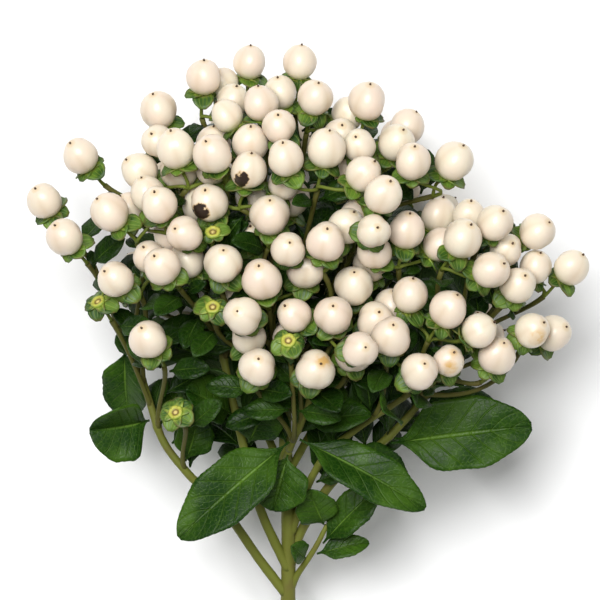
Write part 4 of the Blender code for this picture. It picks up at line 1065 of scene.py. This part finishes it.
class Paint:
    """A material in the making."""

    def __init__(self, name: str) -> None:
        self.material = bpy.data.materials.new(name)
        self.material.use_nodes = True
        self.tree = self.material.node_tree
        self.shader = self.tree.nodes["Principled BSDF"]

    def feed(self, socket: bpy.types.NodeSocket, value: object) -> None:
        """Links a socket to what comes from another node, or sets its number or colour."""
        value = value.socket if isinstance(value, Value) else value
        if isinstance(value, bpy.types.NodeSocket):
            self.tree.links.new(value, socket)
        else:
            socket.default_value = (*value, 1) if socket.type == "RGBA" else value

    def node(self, kind: str, sockets: dict[str | int, object], **settings: object) -> bpy.types.Node:
        """Adds a node.

        Args:
            kind: the node's type.
            sockets: what its sockets take, by index, identifier or name.
            settings: its settings.

        Returns:
            The node.
        """
        made = self.tree.nodes.new(kind)
        for name, value in settings.items():
            setattr(made, name, value)
        for key, value in sockets.items():
            named = (s for s in made.inputs if key in (s.identifier, s.name))
            self.feed(made.inputs[key] if isinstance(key, int) else next(named), value)
        return made

    def value(self, kind: str, sockets: dict[str | int, object], **settings: object) -> Value:
        """What comes first from a new node."""
        return Value(self, self.node(kind, sockets, **settings).outputs[0])

    def places(self) -> bpy.types.NodeSocket:
        """The place on the piece."""
        return self.node("ShaderNodeTexCoord", {}).outputs["Object"]

    def along(self) -> tuple[Value, Value]:
        """The two directions of the piece's own map."""
        made = self.node("ShaderNodeSeparateXYZ", {0: self.node("ShaderNodeUVMap", {}).outputs[0]})
        return Value(self, made.outputs[0]), Value(self, made.outputs[1])

    def layer(self, name: str) -> Value:
        """A layer of numbers on the piece."""
        return Value(self, self.node("ShaderNodeAttribute", {}, attribute_name=name).outputs["Fac"])

    def noise(self, scale: float, detail: float = 2.0) -> Value:
        """Noise from 0 to 1, with features about 1/scale metres wide."""
        return self.value("ShaderNodeTexNoise", {"Vector": self.places(), "Scale": scale, "Detail": detail})

    def cells(self, scale: float) -> Value:
        """The distance to the nearest border of a net of cells."""
        sockets = {"Vector": self.places(), "Scale": scale}
        return self.value("ShaderNodeTexVoronoi", sockets, feature="DISTANCE_TO_EDGE")

    def mix(self, share: Value | float, first: object, second: object) -> bpy.types.NodeSocket:
        """One colour over another."""
        sockets = {"Factor_Float": share, "A_Color": first, "B_Color": second}
        made = self.node("ShaderNodeMix", sockets, data_type="RGBA")
        return next(s for s in made.outputs if s.identifier == "Result_Color")

    def coats(self, colour: Colour, *coats: tuple[Value | float, Colour]) -> bpy.types.NodeSocket:
        """A colour with others over it, each given with its share."""
        for share, coat in coats:
            colour = self.mix(share, colour, coat)
        return colour

    def finish(self, colour: object, roughness: Value | float, height: Value | None = None,
               depth: float = 0.0, **uniform: object) -> Shader:
        """Dresses the shader.

        Args:
            colour: its base colour.
            roughness: its roughness.
            height: the bump's height from 0 to 1, if there is one.
            depth: how deep the bump is, in millimetres.
            uniform: other sockets, by their names with underscores.

        Returns:
            The material.
        """
        if height is not None:
            bump = self.node("ShaderNodeBump", {"Height": height, "Distance": depth * MM, "Strength": 1.0})
            uniform["Normal"] = bump.outputs[0]
        for name, value in {"Base_Color": colour, "Roughness": roughness, **uniform}.items():
            self.feed(self.shader.inputs[name.replace("_", " ")], value)
        return self.material


@dataclass(frozen=True)
class BerrySkin:
    """Ivory skin, rosy in places, greener where it sits in the calyx, with a few bruises and painted shade in
    its creases.
    """

    flesh: Colour = (0.695, 0.635, 0.495)
    rosy: Colour = (0.69, 0.565, 0.46)
    # Painted shade: a darker, pinker colour for the creases between the lobes
    crease_and_shade: Colour = (0.60, 0.47, 0.32)
    green: Colour = (0.60, 0.60, 0.27)
    halo: Colour = (0.60, 0.44, 0.22)
    bruise: Colour = (0.56, 0.34, 0.10)
    rot: Colour = (0.020, 0.010, 0.006)

    def paint(self) -> Shader:
        """The material, with layers for the rise from calyx to tip, the tone, the creases that carry painted
        shade, bruises and rot.
        """
        paint = Paint("berry_skin")
        rise = paint.layer("rise")
        cloud = paint.noise(110) * 1.6 - 0.55 + paint.layer("tone") * 0.5
        spot = paint.layer("bruise") * (0.5 + paint.noise(420, 3).smooth(0.40, 0.60) * 0.7)
        hole = paint.layer("rot") * (paint.noise(480, 4) * 3 - 0.4)
        colour = paint.coats(
            self.flesh, (cloud, self.rosy), (rise.smooth(0.34, 0.02) * 0.75, self.green),
            # Painted shade darkens the creases
            (paint.layer("crease_and_shade") * 0.45, self.crease_and_shade), (rise.smooth(0.965, 1.0) * 0.6, self.halo),
            (spot, self.bruise), (hole.smooth(0.25, 0.60) * 0.8, self.bruise),
            (hole.smooth(0.42, 0.62), self.rot))
        return paint.finish(colour, 0.30 + paint.noise(600) * 0.14, paint.noise(1500, 3), 0.05,
                            Coat_Weight=0.15, Coat_Roughness=0.25, Subsurface_Weight=0.15,
                            Subsurface_Scale=0.003, Subsurface_Radius=(1.0, 0.8, 0.55))


@dataclass(frozen=True)
class StyleTip:
    """The dry brown point that the flower's styles leave on a berry."""

    dark: Colour = (0.050, 0.024, 0.010)
    light: Colour = (0.170, 0.085, 0.035)

    def paint(self) -> Shader:
        """The material."""
        paint = Paint("style_tip")
        grain = paint.noise(2500, 3)
        return paint.finish(paint.mix(grain.smooth(0.45, 0.75), self.dark, self.light), 0.7, grain, 0.1)


@dataclass(frozen=True)
class SepalSkin:
    """A green sepal, paler and yellower at its base, with faint lengthwise veins."""

    green: Colour = (0.022, 0.066, 0.006)
    fresh: Colour = (0.105, 0.190, 0.020)
    pale: Colour = (0.340, 0.420, 0.060)
    edge: Colour = (0.110, 0.095, 0.020)
    veins: int = 5

    def paint(self) -> Shader:
        """The material, with the map running along each sepal."""
        paint = Paint("sepal_skin")
        side, rise = paint.along()
        lines = abs((side * self.veins).fraction() - 0.5).smooth(0.16, 0.0)
        rim = abs(side * 2 - 1).smooth(0.78, 1.0) + rise.smooth(0.85, 1.0)
        colour = paint.coats(
            self.green, (paint.noise(150).smooth(0.35, 0.65), self.fresh), (lines * 0.3, self.pale),
            (rise.smooth(0.55, 0.05) * 0.8, self.pale),
            (rim * paint.noise(300).smooth(0.4, 0.6) * 0.7, self.edge))
        return paint.finish(colour, 0.40 + paint.noise(700) * 0.15, 1 - lines, 0.08, Specular_IOR_Level=0.4)


@dataclass(frozen=True)
class BareDisc:
    """The yellow ring that a lost berry leaves, with its dry pale middle."""

    ring: Colour = (0.19, 0.27, 0.028)
    lip: Colour = (0.40, 0.40, 0.060)
    middle: Colour = (0.58, 0.47, 0.16)
    speck: Colour = (0.15, 0.10, 0.02)

    def paint(self) -> Shader:
        """The material, with a layer from 0 at the middle to 1 at the rim."""
        paint = Paint("bare_disc")
        out = paint.layer("rise")
        grain = paint.noise(1400, 3)
        colour = paint.coats(
            self.middle, (out.smooth(0.12, 0.34), self.speck), (out.smooth(0.38, 0.56), self.lip),
            (out.smooth(0.75, 0.95), self.ring), (grain.smooth(0.55, 0.70) * 0.6, self.speck))
        return paint.finish(colour, 0.5, grain, 0.15, Specular_IOR_Level=0.35)


@dataclass(frozen=True)
class LeafBlade:
    """A leaf's upper side: deep green with a pale midrib, arched side veins and a fine net."""

    green: Colour = (0.007, 0.030, 0.002)
    fresh: Colour = (0.034, 0.084, 0.006)
    vein: Colour = (0.110, 0.210, 0.025)
    name: str = "leaf_blade"
    roughness: float = 0.29
    vein_share: float = 0.75
    gloss: float = 0.12

    def paint(self) -> Shader:
        """The material, with the map running along each blade."""
        paint = Paint(self.name)
        side, rise = paint.along()
        out = abs(side * 2 - 1)
        phase = (rise - out * Leaf.VEIN_SWEEP) * Leaf.SIDE_VEINS
        arch = abs((phase + 0.5).fraction() - 0.5)
        side_vein = arch.smooth(0.085, 0.0) * out.smooth(1.0, 0.75)
        midrib = out.smooth(0.085, 0.02)
        net = paint.cells(640).smooth(0.11, 0.0)
        colour = paint.coats(
            self.green, (paint.noise(70, 3).smooth(0.35, 0.7), self.fresh), (net * 0.13, self.vein),
            (paint.noise(1500, 2).smooth(0.60, 0.72) * 0.25, self.vein),
            (side_vein * self.vein_share * 0.22, self.vein),
            (midrib * rise.smooth(1.0, 0.1) * self.vein_share, self.vein))
        height = 1 - side_vein * 0.6 - midrib - net * 0.12
        rough = self.roughness + paint.noise(500) * 0.12
        return paint.finish(colour, rough, height, 0.35, Specular_IOR_Level=self.gloss)


@dataclass(frozen=True)
class Bark:
    """Bark: woody and greyish at the cut end, green on the shoots, olive brown on the twigs."""

    woody: Colour = (0.120, 0.090, 0.028)
    green: Colour = (0.125, 0.140, 0.020)
    twig: Colour = (0.080, 0.080, 0.014)
    stalk: Colour = (0.130, 0.170, 0.022)

    def paint(self) -> Shader:
        """The material, with a layer from 0 at the cut end to 1 at the berries."""
        paint = Paint("bark")
        rise = paint.layer("rise")
        streak = paint.noise(260, 4)
        colour = paint.coats(
            self.woody, (rise.smooth(0.05, 0.35), self.green), (rise.smooth(0.55, 0.75), self.twig),
            (rise.smooth(0.86, 1.0), self.stalk), (streak.smooth(0.5, 0.75) * 0.5, self.woody))
        return paint.finish(colour, 0.5 + streak * 0.2, streak, 0.15, Specular_IOR_Level=0.2)


@dataclass(frozen=True)
class CutWood:
    """The cut end: pale wood round a soft pith."""

    wood: Colour = (0.62, 0.52, 0.30)
    pith: Colour = (0.42, 0.28, 0.13)

    def paint(self) -> Shader:
        """The material."""
        paint = Paint("cut_wood")
        grain = paint.noise(1800, 4)
        return paint.finish(paint.mix(grain.smooth(0.35, 0.75), self.wood, self.pith), 0.8, grain, 0.1)


@dataclass(frozen=True)
class Table:
    """A plain matt white surface."""

    white: Colour = (0.93, 0.93, 0.93)
    whiter: Colour = (0.95, 0.95, 0.95)

    def paint(self) -> Shader:
        """The material."""
        paint = Paint("table")
        return paint.finish(paint.mix(paint.noise(3) * 0.3, self.white, self.whiter), 0.9)


@dataclass
class Palette:
    """One material of each finish."""

    berry: Shader = field(default_factory=BerrySkin().paint)
    style: Shader = field(default_factory=StyleTip().paint)
    sepal: Shader = field(default_factory=SepalSkin().paint)
    disc: Shader = field(default_factory=BareDisc().paint)
    leaf: Shader = field(default_factory=LeafBlade().paint)
    # A darker copy of the leaf material for the small leaves inside the head: painted shade
    shaded_inner_leaf: Shader = field(default_factory=LeafBlade(
        (0.004, 0.018, 0.001), (0.018, 0.050, 0.004), (0.075, 0.150, 0.018), "shaded_inner_leaf").paint)
    leaf_back: Shader = field(default_factory=LeafBlade(
        (0.060, 0.115, 0.035), (0.085, 0.145, 0.045), (0.17, 0.26, 0.08), "leaf_underside", 0.55, 0.6).paint)
    bark: Shader = field(default_factory=Bark().paint)
    wood: Shader = field(default_factory=CutWood().paint)
    table: Shader = field(default_factory=Table().paint)


@dataclass
class Stem:
    """The woody stem with the lower stretch of every shoot."""

    step: float = 1.0
    sides: int = 20
    shoot_sides: int = 12
    wobble: float = 0.06
    node_swelling: float = 0.22
    node_width: float = 1.3
    first_scar: int = 12
    scar_step: int = 24

    def swollen(self, branch: Branch, points: list[Vector], radii: list[float]) -> list[float]:
        """The radii with the swellings where pairs of leaves sit, or sat on the main stem."""
        whole, _ = branch.line()
        shares = [s for name, row, _, _ in PAIRED_LEAVES if name == branch.name for s in row]
        nodes = [whole[round(s * (len(whole) - 1))] for s in shares]
        nodes += whole[self.first_scar::self.scar_step] if branch is MAIN else []
        grown = []
        for point, radius in zip(points, radii):
            near = max((math.exp(-((point - n).length / self.node_width) ** 2) for n in nodes), default=0.0)
            grown.append(radius * (1 + self.node_swelling * near))
        return grown

    def shoot(self, piece: Piece, branch: Branch, line: list[Vector], radii: list[float], sides: int,
              rise: tuple[float, float]) -> None:
        """Adds a stretch of a shoot.

        Args:
            piece: the mesh that it goes into.
            branch: the shoot.
            line: the points of the stretch.
            radii: its radii.
            sides: how many places go round it.
            rise: how far up the plant its bark looks at the start, and how much further at the end.
        """
        table = piece.tube(line, self.swollen(branch, line, radii), sides, wobble=self.wobble)
        for i, ring in enumerate(table):
            piece.mark(ring, rise=rise[0] + rise[1] * i / len(table))

    def build(self, palette: Palette) -> None:
        """Models and dresses the stem."""
        piece = Piece("stem_bark", "rise")
        line, radii = MAIN.line(self.step)
        self.shoot(piece, MAIN, line, radii, self.sides, (0, 0.5))
        for face in piece.bm.faces:
            if len(face.verts) > 4 and face.calc_center_median().y < (line[2].y - ORIGIN.y) * MM:
                face.material_index = 1
                face.smooth = False
        for branch in (LEAFY_SHOOT, *SHOOTS):
            if branch.split > 0:
                self.shoot(piece, branch, *branch.stretch(0.0, branch.split), self.shoot_sides, (0.4, 0.15))
        piece.finish("stem", Slot.STEM, palette.bark, palette.wood)


@dataclass
class Spray:
    """One flowering shoot: its twigs and stalks, and the calyces and berries on them."""

    branch: Branch
    head: Head
    shoot_sides: int = 10
    twig_sides: int = 7
    twig_rise: float = 0.8
    pedicel_sides: int = 8
    pedicel_rise: float = 0.97
    pedicel_swellings: tuple[float, ...] = (1.15, 1.0, 0.9, 0.88, 0.9, 1.05, 1.5)
    receptacle_depths: tuple[float, ...] = (0.7, 0.3, 0.0)
    receptacle_radii: tuple[float, ...] = (2.1, 2.6, 2.3)
    berry_sides: int = 24
    berry_rings: int = 12
    pole: float = 0.9999
    egg: float = 0.03
    lobe_count: int = 3
    crease_sharpness: int = 8
    dent_noise: float = 0.8
    lobes: float = 0.022
    furrow: float = 0.07
    unevenness: float = 0.06
    style_length: float = 0.6
    style_radius: float = 0.38
    style_sink: float = 0.15
    style_lean: float = 0.25
    style_sides: int = 6
    style_swellings: tuple[float, ...] = (1.2, 0.85, 1.1)
    sepal_rows: int = 7
    sepal_columns: int = 5
    sepal_width: float = 0.62
    sepal_growth: float = 1.12
    sepal_root: float = 1.0
    sepal_sink: float = 0.1
    knee_rise: float = 0.45
    sepal_neck: float = 0.20
    sepal_arc: float = 0.75
    sepal_lateness: float = 1.6
    sepal_fullness: float = 0.7
    sepal_thickness: float = 0.45
    cup: float = 0.16
    cup_sink: float = 0.6
    disc_sides: int = 14
    disc_lobes: float = 0.05
    disc_radius: float = 2.75
    # How far out and up the ring that a lost berry leaves runs, from its rim to its middle
    disc_profile: ClassVar[tuple] = ((2.3, 0.0), (2.75, 0.5), (2.6, 1.05), (1.9, 1.3), (1.55, 1.2),
                                     (1.1, 0.6), (0.6, 0.8), (0.12, 1.0))
    spot_reach: float = 1.8
    # For each spot: the x and y of its berry, its offset from that berry's middle, its width and depth
    bruises: ClassVar[tuple] = (((5, 77), (2.8, 3.0), 3.6, 0.8), ((49, 80), (0.5, -2.2), 3.2, 0.8),
                                ((77, 90), (1.6, -2.6), 4.0, 0.7), ((49, 80), (1.6, 2.6), 2.0, 0.5))
    rotten: ClassVar[tuple] = (((-31, 132), (-3.0, -3.2), 4.2, 1.0), ((-17, 143), (-2.4, -3.2), 3.6, 1.0))

    def stalks(self, palette: Palette) -> None:
        """The shoot, its twigs, the pedicels and what the sepals grow from."""
        piece = Piece(f"stalks_{self.branch.name}", "rise")
        stretch = self.branch.stretch(self.branch.split, 1.0)
        Stem().shoot(piece, self.branch, *stretch, self.shoot_sides, (0.55, 0.2))
        for name, points in self.head.twigs:
            if name == self.branch.name:
                radii = [self.head.twig_radius * (1.15 - 0.25 * math.sin(math.pi * i / (len(points) - 1)))
                         for i in range(len(points))]
                for ring in piece.tube(points, radii, self.twig_sides):
                    piece.mark(ring, rise=self.twig_rise)
        for fruit in self.fruits:
            seats = [fruit.seat - fruit.axis * down for down in self.receptacle_depths]
            radii = [self.head.pedicel_radius * s for s in self.pedicel_swellings]
            for ring in piece.tube([*fruit.pedicel[::2], *seats], [*radii, *self.receptacle_radii],
                                   self.pedicel_sides):
                piece.mark(ring, rise=self.pedicel_rise)
        piece.finish(f"spray_{self.branch.name}", Slot.STEM, palette.bark)

    @property
    def fruits(self) -> list[Fruit]:
        """The fruits that this shoot bears."""
        return [f for f in self.head.fruits if f.branch == self.branch.name]

    def sepals(self, palette: Palette) -> None:
        """Five cupped, blunt-pointed sepals on each calyx."""
        piece = Piece(f"sepals_{self.branch.name}")
        for fruit in self.fruits:
            for index, (length, bend) in enumerate(fruit.sepals):
                piece.sheet(self.sepal_rows_of(fruit, index, length, bend))
        piece.finish(f"spray_{self.branch.name}", Slot.LEAF, palette.sepal, thickness=self.sepal_thickness)

    def sepal_rows_of(self, fruit: Fruit, index: int, length: float, bend: float) -> list[list[Vector]]:
        """The rows of one sepal from its root to its tip."""
        turn = fruit.sepal_turn(index)
        way = fruit.way(turn)
        side = way.cross(fruit.axis)
        _, tip = fruit.sepal_lines(index, length, bend)
        root = fruit.seat + way * self.sepal_root - fruit.axis * self.sepal_sink
        tip = root + (tip - root) * self.sepal_growth
        knee = fruit.seat + way * Fruit.SEPAL_NOTCH + fruit.axis * self.knee_rise
        rows = []
        for i in range(self.sepal_rows):
            u = i / (self.sepal_rows - 1)
            spine = root * (1 - u) ** 2 + knee * 2 * u * (1 - u) + tip * u**2
            slope = ((knee - root) * (1 - u) + (tip - knee) * u).normalized()
            up = side.cross(slope)
            up = up if up.dot(fruit.axis) > 0 else -up
            arc = math.pi * (self.sepal_neck + self.sepal_arc * u**self.sepal_lateness)
            half = self.sepal_width * (tip - root).length * math.sin(arc) ** self.sepal_fullness
            row = []
            for j in range(self.sepal_columns):
                v = 2 * j / (self.sepal_columns - 1) - 1
                row.append(spine + side * half * v + up * self.cup * half * (v * v * 2 - self.cup_sink))
            rows.append(row)
        return rows

    def berries(self, palette: Palette) -> None:
        """The berries with their style tips, and the discs of the calyces that have lost theirs."""
        piece = Piece(f"berries_{self.branch.name}", "rise", "tone", "crease_and_shade", "bruise", "rot")
        rng = random.Random(len(self.branch.name) + len(self.fruits))
        for fruit in self.fruits:
            if fruit.bare:
                self.disc(piece, fruit)
            else:
                self.berry(piece, fruit, rng.random())
        piece.finish(f"spray_{self.branch.name}", Slot.BERRY, palette.berry, palette.style, palette.disc)

    def berry(self, piece: Piece, fruit: Fruit, tone: float) -> None:
        """One slightly egg-shaped, faintly three-lobed berry with its style tip."""
        made = bmesh.ops.create_uvsphere(piece.bm, u_segments=self.berry_sides, v_segments=self.berry_rings,
                                         radius=1, calc_uvs=True)["verts"]
        places = [v.co.copy() for v in made]
        height = fruit.radius * Fruit.STRETCH
        for vert, place in zip(made, places):
            turn = math.atan2(place.y, place.x) if abs(place.z) < self.pole else 0.0
            out = math.hypot(place.x, place.y) * (1 - self.egg * place.z)
            ridge = math.cos(self.lobe_count * turn)
            # How deep in a crease a place is: it sinks the furrow, and marks where the skin gets painted
            # shade
            crease_and_shade = (0.5 + 0.5 * ridge) ** self.crease_sharpness * (1 - place.z**2) ** 0.5
            out *= 1 - self.furrow * crease_and_shade - self.lobes * ridge * (1 - place.z**2) ** 0.5
            grown = 1 + self.unevenness * noise.noise(place * self.dent_noise + fruit.centre)
            vert.co = (fruit.centre + fruit.axis * (height * place.z * grown)
                       + fruit.way(turn + fruit.spin) * (fruit.radius * out * grown) - ORIGIN) * MM
            vert[piece.layers["rise"]] = (place.z + 1) / 2
            vert[piece.layers["crease_and_shade"]] = crease_and_shade
            for layer, spots in (("bruise", self.bruises), ("rot", self.rotten)):
                vert[piece.layers[layer]] = self.spotted(fruit, vert.co / MM + ORIGIN, spots)
        piece.mark(made, tone=tone)
        for face in {f for v in made for f in v.link_faces}:
            face.smooth = True
        tip = fruit.centre + fruit.axis * (height - self.style_sink)
        lean = fruit.way(fruit.spin * 3) * self.style_lean
        points = [tip, tip + fruit.axis * 0.5 + lean * 0.3, tip + (fruit.axis + lean) * self.style_length]
        piece.tube(points, [self.style_radius * s for s in self.style_swellings], self.style_sides, 1)

    def spotted(self, fruit: Fruit, place: Vector, spots: tuple) -> float:
        """How deep in a spot a place on a berry's upper side is.

        Args:
            fruit: the berry.
            place: the place on its skin.
            spots: for each spot, whose berry it is on, how far off its middle, how wide and how deep.

        Returns:
            From 0 outside every spot to the spot's depth at its middle.
        """
        middle = fruit.centre.xy
        deepest = 0.0
        for berry, offset, width, depth in spots:
            if place.z > fruit.centre.z and (middle - Vector(berry)).length < self.spot_reach:
                off = (place.xy - middle - Vector(offset)).length
                deepest = max(deepest, depth * min(1.0, max(0.0, 1.5 * (1 - off / width))))
        return deepest

    def disc(self, piece: Piece, fruit: Fruit) -> None:
        """The low ring that a lost berry leaves on its calyx."""
        rings = []
        for out, up in self.disc_profile:
            middle = fruit.seat + fruit.axis * up
            rings.append([middle + fruit.way(fruit.spin + math.tau * k / self.disc_sides) * out
                          * (1 + self.disc_lobes * math.cos(Fruit.SEPALS * math.tau * k / self.disc_sides))
                          for k in range(self.disc_sides)])
        for verts, (out, _) in zip(piece.sheet(rings, True, 2), self.disc_profile):
            piece.mark(verts, rise=out / self.disc_radius)

    def build(self, palette: Palette) -> None:
        """Models and dresses the whole spray."""
        self.stalks(palette)
        self.sepals(palette)
        self.berries(palette)


@dataclass
class Studio:
    """The white table, the soft light and the camera straight above."""

    aim: Vector = field(default_factory=lambda: Vector((-0.0026, 0.0521, 0.0427)))
    frame: float = 0.200
    distance: float = 4.0
    sensor: float = 36.0
    farthest: float = 20.0
    floor_size: float = 6.0
    surroundings: float = 0.25
    # For each light: where it is from the aim, the length of its sides and its power in watts
    lights: ClassVar[dict] = {
        "key": ((-0.32, 0.45, 1.8), 1.0, 49.0),
        "fill": ((1.1, -0.6, 1.4), 1.4, 4.0),
    }

    def build(self, palette: Palette) -> None:
        """Sets up the floor, the lights, an even white surround and the camera."""
        floor = Piece("floor")
        bmesh.ops.create_grid(floor.bm, x_segments=1, y_segments=1, size=self.floor_size / 2)
        floor.made(palette.table)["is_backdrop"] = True
        scene = bpy.context.scene
        for name, (place, size, power) in self.lights.items():
            lamp = bpy.data.lights.new(name, "AREA")
            lamp.size = size
            lamp.energy = power
            made = self.put(lamp, Vector(place))
            made.rotation_euler = Vector(place).to_track_quat("Z", "Y").to_euler()
        scene.world = bpy.data.worlds.new("surround")
        scene.world.use_nodes = True
        background = scene.world.node_tree.nodes["Background"]
        background.inputs["Color"].default_value = (1, 1, 1, 1)
        background.inputs["Strength"].default_value = self.surroundings
        scene.view_settings.view_transform = "Standard"
        eye = bpy.data.cameras.new("camera")
        eye.sensor_width = self.sensor
        eye.lens = self.sensor * self.distance / self.frame
        eye.clip_end = self.farthest
        scene.camera = self.put(eye, Vector((0, 0, self.distance)))

    def put(self, what: bpy.types.ID, place: Vector) -> bpy.types.Object:
        """A light or a camera at a place from the aim."""
        made = bpy.data.objects.new(what.name, what)
        made.location = self.aim + place
        bpy.context.scene.collection.objects.link(made)
        return made


@dataclass
class Blades:
    """The meshes of the leaves."""

    thickness: float = 0.5
    small_thickness: float = 0.35
    quilt: float = 0.18
    column_width: float = 3.0
    small_grid: tuple[int, int] = (10, 5)

    def build(self, foliage: Foliage, palette: Palette) -> None:
        """Models each leaf of the solids anew, and the small leaves shoot by shoot."""
        for leaf in foliage.leaves:
            piece = Piece(leaf.name + "_blade")
            columns = 2 * max(4, round(leaf.width / self.column_width)) + 1
            piece.sheet(leaf.grid(leaf.teeth * leaf.ROWS_PER_TOOTH + 1, columns, self.quilt))
            piece.finish(leaf.name, Slot.LEAF, palette.leaf, palette.leaf_back, thickness=self.thickness)
        for branch in SHOOTS:
            piece = Piece(f"small_leaves_{branch.name}")
            for leaf in foliage.small:
                if leaf.branch == branch.name:
                    piece.sheet(leaf.grid(*self.small_grid))
            # The small leaves get the darker copy of the leaf material, as painted shade
            piece.finish(None, Slot.LEAF, palette.shaded_inner_leaf, palette.leaf_back,
                         thickness=self.small_thickness)


def save_sizes() -> None:
    """Works out the box of the solids and that of the finished object, without keeping them."""
    boxes = {"cad": CAD_BOX, "visual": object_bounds()}
    {name: [list(corner) for corner in box] for name, box in boxes.items()}


def main() -> None:
    """Lays out the plant, then models and dresses it piece by piece."""
    logging.basicConfig(level=logging.INFO, format="%(message)s")
    head = Head()
    head.grow()
    foliage = Foliage()
    foliage.grow(head)
    foliage.grow_small(head)
    LOG.info("%d fruits, %d leaves, %d small leaves", len(head.fruits), len(foliage.leaves),
             len(foliage.small))
    palette = Palette()
    Stem().build(palette)
    for branch in SHOOTS:
        Spray(branch, head).build(palette)
    Blades().build(foliage, palette)
    Studio().build(palette)
    save_sizes()


if __name__ == "__main__":
    main()
